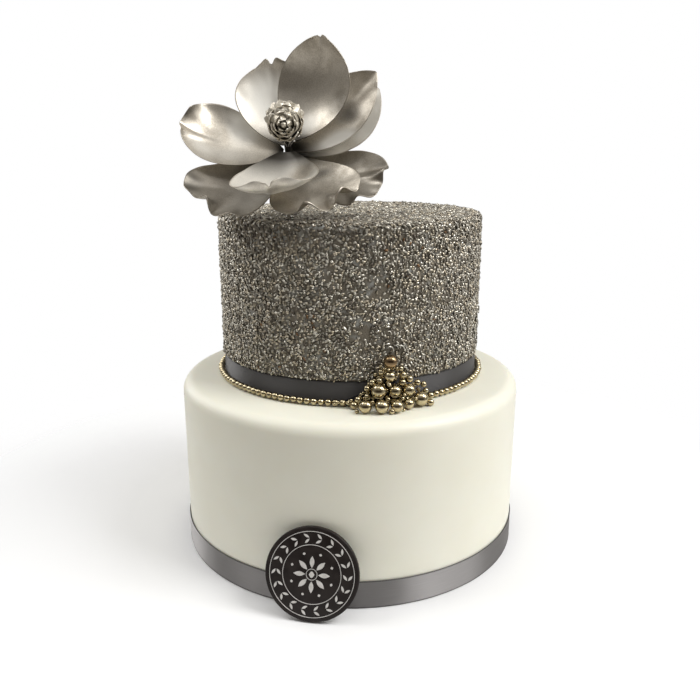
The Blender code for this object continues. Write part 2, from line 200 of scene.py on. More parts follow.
class GroupLibrary:
    """The shader node groups that several materials share, each built when first asked for."""

    def _begin(self, name: str, inputs: dict[str, str],
               outputs: dict[str, str]) -> tuple[Tree, Wiring, Outputs, Node]:
        """Make an empty group with its sockets.

        Args:
            name: the group's name.
            inputs: each input's name and socket type.
            outputs: each output's name and socket type.

        Returns:
            The group, its wiring, its input node's outputs and its output node.
        """
        tree = bpy.data.node_groups.new(name, "ShaderNodeTree")
        for side, sockets in (("INPUT", inputs), ("OUTPUT", outputs)):
            for label, kind in sockets.items():
                tree.interface.new_socket(name=label, in_out=side, socket_type=f"NodeSocket{kind}")
        given, result = (tree.nodes.new(kind) for kind in ("NodeGroupInput", "NodeGroupOutput"))
        return tree, Wiring(tree), given.outputs, result

    @cached_property
    def paste_grain(self) -> Tree:
        """Sugar paste or chocolate: a fine grain over broad, hand-smoothed unevenness.

        Returns:
            The group, which puts out Height and Mask.
        """
        tree, wires, given, result = self._begin(
            "paste grain", {"Place": "Vector", "Fine": "Float", "Broad": "Float"},
            {"Height": "Float", "Mask": "Float"})
        fine = wires.grain(given["Place"], given["Fine"], 3.0)
        broad = wires.grain(given["Place"], given["Broad"], 2.0)
        height = wires.math("MULTIPLY_ADD", fine, 0.35, wires.math("MULTIPLY", broad, 0.65))
        wires.fill(result, {"Height": height, "Mask": wires.spread(broad, 0.35, 0.65)})
        return tree

    @cached_property
    def lustre_dust(self) -> Tree:
        """Metallic dust brushed on: fine speckle, cloudy cover and faint strokes.

        Returns:
            The group, which puts out Color, Roughness and Height.
        """
        tree, wires, given, result = self._begin(
            "lustre dust", {"Place": "Vector", "Stroke": "Vector", "Bright": "Color", "Dull": "Color",
                            "Smooth": "Float", "Rough": "Float"},
            {"Color": "Color", "Roughness": "Float", "Height": "Float"})
        half_speckle = wires.math("MULTIPLY", wires.clouds(given["Place"], 0.55 * MM, 3.0), 0.5)
        cover = wires.clouds(given["Place"], 9.0 * MM, 3.0)
        strokes = wires.clouds(given["Stroke"], 1.0, 3.0)
        worn = wires.math("MULTIPLY_ADD", cover, 0.5, half_speckle)
        share = wires.spread(worn, 0.36, 0.62, 1.0, 0.0)
        swing = wires.math("SUBTRACT", given["Rough"], given["Smooth"])
        wires.fill(result, {
            "Color": wires.mix(share, given["Bright"], given["Dull"]),
            "Roughness": wires.math("MULTIPLY_ADD", share, swing, given["Smooth"]),
            "Height": wires.math("MULTIPLY_ADD", strokes, 0.5, half_speckle)})
        return tree

    @cached_property
    def satin_weave(self) -> Tree:
        """Satin ribbon on its own length and width: long floats and two selvedges.

        Returns:
            The group, which puts out Streak, Selvedge and Height.
        """
        tree, wires, given, result = self._begin(
            "satin weave", {"Along": "Float", "Across": "Float", "Width": "Float"},
            {"Streak": "Float", "Selvedge": "Float", "Height": "Float"})
        stretched = wires.add("ShaderNodeCombineXYZ", {
            0: wires.math("MULTIPLY", given["Along"], 60.0),
            1: wires.math("MULTIPLY", given["Across"], 2600.0)})
        streak = wires.grain(stretched.outputs[0], 1.0, 3.0)
        half = wires.math("MULTIPLY", given["Width"], 0.5)
        from_middle = wires.math("ABSOLUTE", wires.math("SUBTRACT", given["Across"], half))
        from_edge = wires.math("SUBTRACT", half, from_middle)
        selvedge = wires.spread(from_edge, 0.35 * MM, 0.75 * MM, 1.0, 0.0)
        picks = wires.math("SINE", wires.math("MULTIPLY", given["Along"], math.tau / (0.42 * MM)))
        ribs = wires.math("MULTIPLY", wires.math("MULTIPLY", picks, selvedge), 0.5)
        height = wires.math("ADD", streak, ribs)
        wires.fill(result, {"Streak": streak, "Selvedge": selvedge, "Height": height})
        return tree


GROUPS = GroupLibrary()


def begin_material(name: str, **constants: float | Colour) -> tuple[Material, Wiring, Node]:
    """Start a Principled material.

    Args:
        name: the material's name.
        constants: Principled inputs that are the same all over, with _ for a space.

    Returns:
        The material, its wiring and its Principled node.
    """
    material = bpy.data.materials.new(name)
    material.use_nodes = True
    shader = material.node_tree.nodes["Principled BSDF"]
    for key, value in constants.items():
        shader.inputs[key.replace("_", " ")].default_value = value
    return material, Wiring(material.node_tree), shader


# ----- Finishes -----

@dataclass(frozen=True)
class PasteFinish:
    """Smooth paste, icing or chocolate: two close colours over a fine and a broad grain.

    fine and broad are lumps to the metre, smooth and rough the ends of the roughness, and
    constants the Principled inputs that are the same all over.
    """

    name: str
    pale: Colour
    shade: Colour
    fine: float
    broad: float
    smooth: float
    rough: float
    depth: float
    constants: dict[str, float | Colour] = field(default_factory=dict)

    def material(self) -> Material:
        """Build the material.

        Returns:
            The material.
        """
        material, wires, shader = begin_material(self.name, **self.constants)
        grain = wires.group(GROUPS.paste_grain, {
            "Place": wires.object_place(), "Fine": self.fine, "Broad": self.broad})
        wires.fill(shader, {
            "Base Color": wires.mix(grain["Mask"], self.pale, self.shade),
            "Roughness": wires.spread(grain["Mask"], 0.0, 1.0, self.smooth, self.rough),
            "Normal": wires.bump(grain["Height"], self.depth)})
        return material


ROLLED_FONDANT = PasteFinish(
    "ivory fondant", (0.900, 0.885, 0.765), (0.880, 0.862, 0.735), 1400.0, 34.0, 0.44, 0.49, 0.05 * MM,
    {"Subsurface_Weight": 0.12, "Subsurface_Scale": 0.004, "Subsurface_Radius": (1.0, 0.75, 0.5),
     "Coat_Weight": 0.10, "Coat_Roughness": 0.35, "Specular_IOR_Level": 0.45})
DARK_CHOCOLATE = PasteFinish(
    "dark chocolate", (0.0125, 0.0085, 0.0075), (0.024, 0.018, 0.016), 2200.0, 150.0, 0.42, 0.52, 0.05 * MM,
    {"Specular_IOR_Level": 0.25})
WHITE_ICING = PasteFinish(
    "white icing", (0.74, 0.72, 0.69), (0.62, 0.60, 0.57), 3000.0, 400.0, 0.5, 0.6, 0.03 * MM)


@dataclass(frozen=True)
class SatinFinish:
    """Satin ribbon, with its floats running along it.

    deep, light and edge are the tones of the low floats, the high ones and the selvedges,
    as shares of the colour.
    """

    name: str
    colour: Colour
    shine: float
    roughness: float
    width: float
    deep: float = 0.80
    light: float = 1.12
    edge: float = 0.45
    depth: float = 0.03 * MM

    def _tone(self, share: float) -> Colour:
        """The ribbon's colour, made deeper or lighter."""
        return tuple(share * part for part in self.colour)

    def material(self) -> Material:
        """Build the material.

        Returns:
            The material.
        """
        material, wires, shader = begin_material(
            self.name, Metallic=self.shine, Sheen_Weight=0.05, Sheen_Roughness=0.4, Anisotropic=1.0,
            Anisotropic_Rotation=0.25)
        wound = wires.add("ShaderNodeUVMap", uv_map="wound")
        parts = wires.add("ShaderNodeSeparateXYZ", {0: wound.outputs[0]}).outputs
        weave = wires.group(GROUPS.satin_weave, {"Along": parts[0], "Across": parts[1], "Width": self.width})
        floats = wires.mix(weave["Streak"], self._tone(self.deep), self._tone(self.light))
        tangent = wires.add("ShaderNodeTangent", direction_type="UV_MAP", uv_map="wound")
        wires.fill(shader, {
            "Tangent": tangent.outputs[0],
            "Base Color": wires.mix(weave["Selvedge"], floats, self._tone(self.edge)),
            "Roughness": wires.spread(weave["Streak"], 0.3, 0.7, self.roughness - 0.04,
                                      self.roughness + 0.05),
            "Normal": wires.bump(weave["Height"], self.depth)})
        return material


@dataclass(frozen=True)
class LustreFinish:
    """Sugar paste brushed with metallic lustre dust.

    bright and dull are the dust's two tones, rim is the tone laid along the edges, root that of
    painted shade and pale that of painted light. chalky and matt say how much less metallic
    and how much rougher the pale places are.
    """

    name: str
    bright: Colour
    dull: Colour
    rim: Colour
    smooth: float
    rough: float
    metallic: float = 0.92
    chalky: float = 0.62
    matt: float = 0.10
    depth: float = 0.035 * MM
    # Colour of the painted shade.
    root: Colour = (0.06, 0.054, 0.045)
    # Colour of the painted light.
    pale: Colour = (0.94, 0.915, 0.845)
    strokes: Triple = (45.0, 900.0, 1.0)

    def material(self) -> Material:
        """Build the material.

        Returns:
            The material.
        """
        material, wires, shader = begin_material(self.name)
        laid = wires.add("ShaderNodeUVMap", uv_map="laid").outputs[0]
        stroke = wires.add("ShaderNodeMapping", {"Vector": laid, "Scale": self.strokes}).outputs[0]
        dust = wires.group(GROUPS.lustre_dust, {
            "Place": wires.object_place(), "Stroke": stroke, "Bright": self.bright, "Dull": self.dull,
            "Smooth": self.smooth, "Rough": self.rough})
        # The pale mark lays painted light: paler, less metallic and rougher.
        pale = wires.mark("pale")
        dusted = wires.mix(wires.mark("rim"), wires.mix(pale, dust["Color"], self.pale), self.rim)
        wires.fill(shader, {
            # The root mark lays painted shade.
            "Base Color": wires.mix(wires.mark("root"), dusted, self.root),
            "Metallic": wires.spread(pale, 0.0, 1.0, self.metallic, self.metallic - self.chalky),
            "Roughness": wires.math("MULTIPLY_ADD", pale, self.matt, dust["Roughness"]),
            "Normal": wires.bump(dust["Height"], self.depth)})
        return material


@dataclass(frozen=True)
class PearlFinish:
    """The polished metallic shell of a sugar pearl."""

    name: str
    colour: Colour
    shade: Colour
    roughness: float = 0.09
    cloud_size: float = 2.6 * MM
    pit_size: float = 0.5 * MM
    pit_depth: float = 0.02 * MM

    def material(self) -> Material:
        """Build the material.

        Returns:
            The material.
        """
        material, wires, shader = begin_material(self.name, Metallic=1.0)
        place = wires.object_place()
        cloud = wires.clouds(place, self.cloud_size)
        wires.fill(shader, {
            "Base Color": wires.mix(wires.spread(cloud, 0.4, 0.62), self.colour, self.shade),
            "Roughness": wires.spread(cloud, 0.35, 0.65, self.roughness, self.roughness + 0.07),
            "Normal": wires.bump(wires.clouds(place, self.pit_size), self.pit_depth)})
        return material


@dataclass(frozen=True)
class SprinkleFinish:
    """Metallic rod sprinkles; each rod has a tint of its own between two colours.

    A tint past 1 goes on towards the dark shade colour, which paints the flower's shadow;
    the same colour is painted on each rod's sides as shade between the rods.
    """

    name: str
    light: Colour
    dark: Colour
    metallic: float = 0.85
    roughness: float = 0.20
    flank: Colour = (0.042, 0.034, 0.024)
    speckle_size: float = 0.35 * MM
    speckle_depth: float = 0.03 * MM

    def material(self) -> Material:
        """Build the material.

        Returns:
            The material.
        """
        material, wires, shader = begin_material(self.name, Metallic=self.metallic)
        tint = wires.mark("tint")
        own = wires.mix(wires.math("MULTIPLY", tint, 1.0, clamp=True), self.light, self.dark)
        # Tints past 1 mix towards the shade colour: the painted shadow under the flower.
        brushed = wires.mix(wires.spread(tint, 1.0, 2.0, 0.0, 0.7), own, self.flank)
        # Painted shade on each rod's sides, as much as the mark laid on the rods says.
        sides = wires.math("MULTIPLY", wires.mark("flank"), 0.97)
        speckle = wires.clouds(wires.object_place(), self.speckle_size)
        wires.fill(shader, {
            "Base Color": wires.mix(sides, brushed, self.flank),
            "Roughness": wires.spread(tint, 0.0, 1.0, self.roughness, self.roughness + 0.16),
            "Normal": wires.bump(speckle, self.speckle_depth)})
        return material


@dataclass(frozen=True)
class CoatFinish:
    """The dusted icing that shows between the sprinkles."""

    name: str = "dusted icing"
    dark: Colour = (0.205, 0.18, 0.14)
    pale: Colour = (0.38, 0.378, 0.355)
    patch_size: float = 7.0 * MM
    crumb_size: float = 0.8 * MM
    crumb_depth: float = 0.35 * MM

    def material(self) -> Material:
        """Build the material.

        Returns:
            The material.
        """
        material, wires, shader = begin_material(self.name, Metallic=0.5)
        place = wires.object_place()
        patch = wires.spread(wires.clouds(place, self.patch_size, 3.0), 0.5, 0.68)
        crumbs = wires.clouds(place, self.crumb_size, 3.0)
        wires.fill(shader, {
            "Base Color": wires.mix(patch, self.dark, self.pale),
            "Roughness": wires.spread(crumbs, 0.3, 0.7, 0.42, 0.6),
            "Normal": wires.bump(crumbs, self.crumb_depth)})
        return material


@dataclass(frozen=True)
class FloorFinish:
    """A plain pale table, which fades into the white backdrop round the cake.

    It is solid out to solid_reach from middle, and gone past clear_reach.
    """

    name: str = "pale table"
    pale: Colour = (0.93, 0.93, 0.93)
    shade: Colour = (0.91, 0.91, 0.91)
    cloud_size: float = 0.12
    middle: Triple = (0.0, 0.02, 0.0)
    solid_reach: float = 0.145
    clear_reach: float = 0.34

    def material(self) -> Material:
        """Build the material.

        Returns:
            The material.
        """
        material, wires, shader = begin_material(self.name, Roughness=0.8, Specular_IOR_Level=0.1)
        place = wires.object_place()
        cloud = wires.clouds(place, self.cloud_size)
        wires.fill(shader, {"Base Color": wires.mix(cloud, self.pale, self.shade)})
        reach = wires.add("ShaderNodeVectorMath", {0: place, 1: self.middle}, operation="DISTANCE")
        fade = wires.spread(reach.outputs["Value"], self.solid_reach, self.clear_reach)
        clear = wires.add("ShaderNodeBsdfTransparent")
        both = wires.add("ShaderNodeMixShader", {0: fade, 1: shader.outputs[0], 2: clear.outputs[0]})
        wires.fill(material.node_tree.nodes["Material Output"], {"Surface": both.outputs[0]})
        return material


# ----- Mesh making -----

def lathe(profile: Profile, steps: int, centre: Vector = ORIGIN, closed: bool = False) -> Work:
    """Spin a profile once round an upright axis.

    Args:
        profile: points of radius and height.
        steps: the number of steps round.
        centre: a point on the axis.
        closed: whether the profile's ends join, as a ring's section does.

    Returns:
        The closed body.
    """
    work = bmesh.new()
    corners = [work.verts.new((radius, 0.0, height)) for radius, height in profile]
    for first, second in zip(corners, corners[1:]):
        work.edges.new((first, second))
    if closed:
        work.edges.new((corners[-1], corners[0]))
    bmesh.ops.spin(work, geom=work.verts[:] + work.edges[:], cent=(0, 0, 0), axis=(0, 0, 1), dvec=(0, 0, 0),
                   angle=math.tau, steps=steps, use_merge=True, use_duplicate=False)
    bmesh.ops.remove_doubles(work, verts=work.verts[:], dist=0.002 * MM)
    bmesh.ops.recalc_face_normals(work, faces=work.faces[:])
    bmesh.ops.translate(work, verts=work.verts[:], vec=(centre.x, centre.y, 0.0))
    return work


def rounded_edge(radius: float, top: float, edge: float, steps: int) -> Profile:
    """Profile points of a rounded top edge, from the side over to the top."""
    turns = [math.radians(90.0) * step / steps for step in range(steps + 1)]
    return [(radius - edge + edge * math.cos(turn), top - edge + edge * math.sin(turn)) for turn in turns]


def even_steps(start: float, end: float, count: int) -> list[float]:
    """Count values from start up to, but not at, end."""
    return [start + (end - start) * step / count for step in range(count)]


def waver(place: Vector, lump: float, seed: float) -> float:
    """Smooth noise from -1 to 1 with lumps of the given size in metres."""
    return noise.noise(place / lump + Vector((seed, 2.0 * seed, -seed)))


def arm_from(corner: bmesh.types.BMVert, centre: Vector = ORIGIN) -> Vector:
    """The level arm that runs from an upright axis out to a corner."""
    arm = corner.co - centre
    return Vector((arm.x, arm.y, 0.0))


def faces_of(corners: list[bmesh.types.BMVert]) -> list[bmesh.types.BMFace]:
    """The faces that meet at any of the corners, each once."""
    return list({face for corner in corners for face in corner.link_faces})


def wind_uv(work: Work, radius: float, foot: float) -> None:
    """Give a band a UV map in metres: along its length, and up from its foot.

    Args:
        work: the band, still centred on the upright axis.
        radius: its radius.
        foot: the height of its lower edge.
    """
    layer = work.loops.layers.uv.new("wound")
    for face in work.faces:
        middle = face.calc_center_median()
        base = math.atan2(middle.y, middle.x)
        for loop in face.loops:
            arm = loop.vert.co
            turn = math.atan2(arm.y, arm.x) - base
            turn = (turn + math.pi) % math.tau - math.pi
            loop[layer].uv = ((base + turn) * radius, arm.z - foot)


def merge_into(work: Work, part: Work) -> None:
    """Move a part, which is used up, into another bmesh.

    Args:
        work: the bmesh that it joins.
        part: the part.
    """
    holder = bpy.data.meshes.new("part")
    part.to_mesh(holder)
    part.free()
    work.from_mesh(holder)
    bpy.data.meshes.remove(holder)


def new_object(name: str, data: bpy.types.ID) -> Piece:
    """Put a new object into the scene.

    Args:
        name: the object's name.
        data: its mesh, curve, light or camera.

    Returns:
        The object.
    """
    made = bpy.data.objects.new(name, data)
    bpy.context.scene.collection.objects.link(made)
    return made


def finish_piece(name: str, work: Work, material: Material | None,
                 sharp: float = 50.0) -> Piece:
    """Turn a bmesh into a smooth-shaded object at the origin.

    Args:
        name: the piece's name.
        work: the bmesh, which is used up.
        material: its finish.
        sharp: edges sharper than this many degrees stay sharp.

    Returns:
        The object.
    """
    mesh = bpy.data.meshes.new(name)
    work.to_mesh(mesh)
    work.free()
    mesh.shade_smooth()
    mesh.set_sharp_from_angle(angle=math.radians(sharp))
    mesh.materials.append(material)
    return new_object(name, mesh)


def settle(piece: Piece, slot: Slot, *nodes: str) -> None:
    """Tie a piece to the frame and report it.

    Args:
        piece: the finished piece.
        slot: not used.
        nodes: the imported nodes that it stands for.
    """
    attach(piece, BODY)
    if nodes:
        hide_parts(*nodes)
    faces = len(piece.data.polygons) if piece.type == "MESH" else 0
    log.info("%s: %d faces, for %s", piece.name, faces, ", ".join(nodes) or "no node")


def node_middle(node: str) -> Vector:
    """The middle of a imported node's box."""
    low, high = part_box(node)
    return (low + high) / 2


def node_size(node: str) -> Vector:
    """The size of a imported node's box."""
    low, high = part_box(node)
    return high - low


# ----- Tiers and ribbons -----

@dataclass
class LowerTier:
    """The smooth fondant tier; its sides and edge waver as hand-smoothed paste does."""

    edge_round: float = 7.2 * MM
    foot_round: float = 1.0 * MM
    lowest_ring: float = 8.0 * MM
    top_reach: float = 80.0 * MM
    steps: int = 192
    unevenness: float = 0.12 * MM
    broad_lump: float = 38.0 * MM
    small_lump: float = 14.0 * MM

    def build(self) -> None:
        """Model the tier and dress it."""
        radius = node_size("lower_tier").x / 2
        height = node_size("lower_tier").z
        profile = [(0.0, 0.0), (radius - self.foot_round, 0.0), (radius, self.foot_round)]
        profile += [(radius, level) for level in even_steps(self.lowest_ring, height - self.edge_round, 11)]
        profile += rounded_edge(radius, height, self.edge_round, 12)
        inwards = even_steps(6.0 * MM, self.top_reach, 8)
        profile += [(radius - self.edge_round - inward, height) for inward in inwards]
        profile.append((0.0, height))
        work = lathe(profile, self.steps)
        for corner in work.verts:
            arm = arm_from(corner)
            if arm.length > radius - self.edge_round:
                push = waver(corner.co, self.broad_lump, 3.0) + 0.4 * waver(corner.co, self.small_lump, 8.0)
                corner.co += arm.normalized() * push * self.unevenness
        piece = finish_piece("fondant_tier", work, ROLLED_FONDANT.material())
        settle(piece, Slot.FONDANT, "lower_tier")


@dataclass
class Ribbon:
    """A satin ribbon wound once round a tier, with its end lapped over at the back."""

    node: str
    slot: Slot
    colour: Colour
    shine: float
    roughness: float
    thickness: float = 0.34 * MM
    selvedge: float = 0.5 * MM
    bead: float = 0.05 * MM
    lap_length: float = 14.0 * MM
    lap_thickness: float = 0.10 * MM
    lap_gap: float = 0.12 * MM
    lap_curl: float = 0.10 * MM
    steps: int = 288
    rows: int = 8
    looseness: float = 0.10 * MM
    slack_length: float = 16.0 * MM

    def __post_init__(self) -> None:
        """Read the ribbon's place and size from its node."""
        low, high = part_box(self.node)
        self.outer = (high.x - low.x) / 2
        self.width = high.z - low.z
        self.foot = low.z
        self.back = (low.y + high.y) / 2

    def _section(self) -> Profile:
        """The band's closed section, a little thicker along both selvedges.

        Returns:
            The section's points of radius and height.
        """
        inner, face, top = self.outer - self.thickness, self.outer - self.bead, self.foot + self.width
        rise = even_steps(self.foot + self.selvedge, top - self.selvedge, self.rows)
        section = [(inner, self.foot), (face, self.foot), (self.outer, self.foot + self.selvedge / 2)]
        section += [(face, level) for level in rise]
        section += [(face, top - self.selvedge), (self.outer, top - self.selvedge / 2), (face, top)]
        section += [(inner, top)]
        section += [(inner, level) for level in reversed(rise[1:])]
        return section

    def _lapped_end(self, work: Work) -> None:
        """Add the cut end that lies over the band at the back.

        Args:
            work: the band.
        """
        made = bmesh.ops.create_grid(work, x_segments=10, y_segments=self.rows, size=1.0)["verts"]
        for corner in made:
            turn = math.radians(90.0) + corner.co.x * self.lap_length / 2 / self.outer
            lift = self.lap_gap + self.lap_curl * max(0.0, corner.co.x) ** 2
            arm = self.outer + lift
            level = self.foot + self.width * (0.5 + 0.5 * corner.co.y)
            corner.co = (arm * math.cos(turn), arm * math.sin(turn), level)
        faces = faces_of(made)
        bmesh.ops.recalc_face_normals(work, faces=faces)
        bmesh.ops.solidify(work, geom=faces, thickness=self.lap_thickness)

    def build(self) -> None:
        """Model the ribbon and dress it."""
        work = lathe(self._section(), self.steps, closed=True)
        self._lapped_end(work)
        for corner in work.verts:
            slack = waver(corner.co, self.slack_length, 5.0)
            corner.co += arm_from(corner).normalized() * slack * self.looseness
        wind_uv(work, self.outer, self.foot)
        bmesh.ops.translate(work, verts=work.verts[:], vec=(0.0, self.back, 0.0))
        name = self.node.replace("_", " ")
        finish = SatinFinish(name, self.colour, self.shine, self.roughness, self.width)
        settle(finish_piece(f"{self.node}_satin", work, finish.material(), 60.0), self.slot, self.node)


@dataclass
class CoatShape:
    """The outline of the coat of sprinkles, followed from its foot to the middle of the top."""

    centre: Vector
    radius: float
    foot: float
    top: float
    edge: float

    @property
    def side(self) -> float:
        """The way up the straight side."""
        return self.top - self.edge - self.foot

    @property
    def length(self) -> float:
        """The whole way up the side, over the edge and in to the middle."""
        return self.side + self.edge * math.pi / 2 + (self.radius - self.edge)

    def at(self, way: Rows) -> tuple[Rows, Rows, Rows, Rows]:
        """Points and normals of the outline.

        Args:
            way: how far along the outline each point lies, in metres.

        Returns:
            Each point's radius and height, and its normal's outward and upward parts.
        """
        turn = np.clip((way - self.side) / self.edge, 0.0, math.pi / 2)
        inward = np.maximum(way - self.side - self.edge * math.pi / 2, 0.0)
        radius = self.radius - self.edge + self.edge * np.cos(turn) - inward
        height = np.where(way < self.side, self.foot + way, self.top - self.edge + self.edge * np.sin(turn))
        return radius, height, np.cos(turn), np.sin(turn)


@dataclass
class UpperTier:
    """The upper tier: its icing, which the sprinkles stick to."""

    coat_depth: float = 2.4 * MM
    edge_round: float = 3.0 * MM
    foot_radius_in: float = 3.0 * MM
    foot_gap: float = 0.6 * MM
    top_reach: float = 74.0 * MM
    steps: int = 192
    unevenness: float = 0.25 * MM
    lump: float = 9.0 * MM
    rim_band: float = 0.5 * MM

    def coat(self) -> CoatShape:
        """The icing's outline under the sprinkles.

        Returns:
            The outline.
        """
        low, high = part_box("upper_tier")
        middle = node_middle("upper_tier")
        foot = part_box("upper_ribbon")[1].z + self.foot_gap
        return CoatShape(Vector((middle.x, middle.y, 0.0)), (high.x - low.x) / 2 - self.coat_depth,
                         foot, high.z - self.coat_depth, self.edge_round)

    def build(self) -> None:
        """Model the icing and dress it."""
        shape = self.coat()
        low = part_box("upper_tier")[0]
        bare = shape.radius + self.coat_depth - self.foot_radius_in
        profile = [(0.0, low.z), (bare, low.z), (bare, shape.foot)]
        profile += [(shape.radius, level) for level in even_steps(shape.foot, shape.top - shape.edge, 16)]
        profile += rounded_edge(shape.radius, shape.top, shape.edge, 6)
        inwards = even_steps(5.0 * MM, self.top_reach, 12)
        profile += [(shape.radius - shape.edge - inward, shape.top) for inward in inwards]
        profile.append((0.0, shape.top))
        work = lathe(profile, self.steps, shape.centre)
        for corner in work.verts:
            arm = arm_from(corner, shape.centre)
            if corner.co.z > shape.foot:
                push = self.unevenness * waver(corner.co, self.lump, 1.0)
                if arm.length > shape.radius - self.rim_band:
                    corner.co += arm.normalized() * push
                elif corner.co.z > shape.top - self.rim_band:
                    corner.co.z += push
        piece = finish_piece("icing_coat", work, CoatFinish().material(), 60.0)
        settle(piece, Slot.SPRINKLES, "upper_tier")


# ----- Sprinkles -----

class SprinkleKind(Enum):
    """The sorts of sprinkle in the mix: finish and share of all the rods."""

    SILVER = (SprinkleFinish("silver sprinkles", (0.95, 0.91, 0.80), (0.62, 0.58, 0.50)), 0.27)
    CHAMPAGNE = (SprinkleFinish("champagne sprinkles", (0.74, 0.66, 0.52), (0.44, 0.385, 0.295)), 0.28)
    PEWTER = (SprinkleFinish("pewter sprinkles", (0.52, 0.49, 0.42), (0.29, 0.27, 0.225)), 0.27)
    SMOKE = (SprinkleFinish("smoke sprinkles", (0.29, 0.26, 0.215), (0.15, 0.13, 0.105)), 0.176)
    COPPER = (SprinkleFinish("copper sprinkles", (0.36, 0.22, 0.12), (0.22, 0.13, 0.07)), 0.004)


@dataclass(frozen=True)
class BarePatch:
    """A spot where few sprinkles have stuck: degrees from the front, height, reach, thinning."""

    angle: float
    height: float
    reach: float
    thinning: float


@dataclass
class Laying:
    """Where the rods of one sort lie: places, directions, sizes and tints, one row each."""

    places: Rows
    lies: Rows
    sizes: Rows
    tints: Rows

    def chosen(self, mask: Rows) -> "Laying":
        """The rows that a mask picks."""
        return Laying(*(rows[mask] for rows in (self.places, self.lies, self.sizes, self.tints)))


@dataclass
class SprinkleCoat:
    """Thousands of small metallic rods over the upper tier's icing.

    taper is the share of half a rod over which each end narrows. jitter is how far an even
    place may stray, as shares of the spacing along its ring and across it. sunk and
    resting are how many millimetres the rods' middles stand off the icing, for those in it
    and those on the others, and leans how many degrees each sort tilts. The rods near the
    shadow's middle, within its reach, are darker by its weight: a painted shadow of the
    flower.
    """

    shape: CoatShape
    rod_length: float = 2.90 * MM
    rod_radius: float = 0.63 * MM
    rod_sides: int = 6
    taper: float = 0.62
    spacing: float = 1.66 * MM
    jitter: Pair = (0.42, 0.48)
    loose_rods: int = 1800
    sunk: Pair = (-0.20, 0.36)
    resting: Pair = (0.4, 0.8)
    leans: Pair = (7.0, 13.0)
    stood_share: float = 0.03
    stood_leans: Pair = (20.0, 50.0)
    length_spread: float = 0.13
    girth_spread: float = 0.08
    curl_count: int = 70
    curl_radius: float = 2.1 * MM
    curl_girth: float = 0.8
    curl_bend: float = 130.0
    curl_lift: float = 1.15 * MM
    low_right_share: float = 0.55
    low_right_angles: Pair = (12.0, 75.0)
    low_right_ways: Pair = (2.0 * MM, 26.0 * MM)
    # Painted shadow of the flower on the rods below it: its middle, reach and weight.
    shadow_middle: Triple = (-34.0 * MM, -62.0 * MM, 198.0 * MM)
    shadow_reach: Triple = (62.0 * MM, 34.0 * MM, 11.0 * MM)
    shadow_weight: float = 1.1
    crest: float = 0.78
    bare_patches: tuple[BarePatch, ...] = (
        BarePatch(11.0, 169.0 * MM, 9.0 * MM, 0.55),
        BarePatch(4.0, 147.0 * MM, 8.0 * MM, 0.60),
        BarePatch(15.0, 137.0 * MM, 9.0 * MM, 0.50),
        BarePatch(-22.0, 150.0 * MM, 7.0 * MM, 0.40),
        BarePatch(-8.0, 178.0 * MM, 6.0 * MM, 0.35),
    )

    def __post_init__(self) -> None:
        """Start the source of chance."""
        self.random = np.random.default_rng(SEED)

    def _rod(self) -> Piece:
        """Spin one rod with tapered ends.

        Returns:
            The stock shape.
        """
        half = self.rod_length / 2
        taper = half * self.taper
        profile = [(0.0, -half), (self.rod_radius, taper - half), (self.rod_radius, half - taper)]
        return self._stock("rod stock", lathe(profile + [(0.0, half)], self.rod_sides))

    def _curl(self) -> Piece:
        """Spin a bent strand, a third of a ring.

        Returns:
            The stock shape.
        """
        work = bmesh.new()
        girth = self.rod_radius * self.curl_girth
        made = bmesh.ops.create_circle(work, cap_ends=True, segments=5, radius=girth)["verts"]
        upright = Matrix.Rotation(math.radians(90.0), 3, "X")
        bmesh.ops.rotate(work, verts=made, cent=(0, 0, 0), matrix=upright)
        bmesh.ops.translate(work, verts=made, vec=(self.curl_radius, 0.0, 0.0))
        bmesh.ops.spin(work, geom=work.faces[:], cent=(0, 0, 0), axis=(0, 0, 1), dvec=(0, 0, 0),
                       angle=math.radians(self.curl_bend), steps=7, use_merge=False, use_duplicate=False)
        bmesh.ops.recalc_face_normals(work, faces=work.faces[:])
        return self._stock("curl stock", work)

    def _stock(self, name: str, work: Work) -> Piece:
        """Make a stock object, which is there only while it is laid.

        Args:
            name: its name.
            work: its shape, which is used up.

        Returns:
            The object.
        """
        mesh = bpy.data.meshes.new(name)
        work.to_mesh(mesh)
        work.free()
        mesh.shade_smooth()
        return new_object(name, mesh)

    def _surface(self, way: Rows, turn: Rows, lift: Rows) -> tuple[Rows, Rows]:
        """Points over the coat and their normals.

        Args:
            way: how far along the outline each point lies.
            turn: its angle from the front, in radians.
            lift: how far it stands off the icing.

        Returns:
            The points and the normals, one row each.
        """
        radius, height, outward, upward = self.shape.at(way)
        across = np.stack([np.sin(turn), -np.cos(turn), np.zeros_like(turn)], axis=1)
        normals = across * outward[:, None]
        normals[:, 2] = upward
        points = across * radius[:, None] + normals * lift[:, None]
        points += np.array(self.shape.centre)
        points[:, 2] += height
        return points, normals

    def _even_places(self) -> tuple[Rows, Rows]:
        """Jittered rings of places that cover the coat evenly.

        Returns:
            Each place's way along the outline and its turn.
        """
        ways, turns = [], []
        along, across = self.jitter
        for ring in np.arange(self.spacing * 0.5, self.shape.length, self.spacing):
            radius = float(self.shape.at(np.array([ring]))[0][0])
            count = max(1, round(math.tau * radius / self.spacing))
            start = self.random.uniform(0.0, math.tau)
            spots = np.arange(count) + self.random.uniform(-along, along, count)
            turns.append(start + spots * math.tau / count)
            ways.append(ring + self.random.uniform(-across, across, count) * self.spacing)
        return np.concatenate(ways), np.concatenate(turns)

    def _loose_places(self) -> tuple[Rows, Rows]:
        """Random places for the rods that lie on the others.

        Returns:
            Each place's way along the outline and its turn.
        """
        ways = self.random.uniform(0.0, self.shape.length, 3 * self.loose_rods)
        radii = self.shape.at(ways)[0]
        kept = self.random.uniform(0.0, self.shape.radius, ways.size) < radii
        ways = ways[kept][:self.loose_rods]
        return ways, self.random.uniform(0.0, math.tau, ways.size)

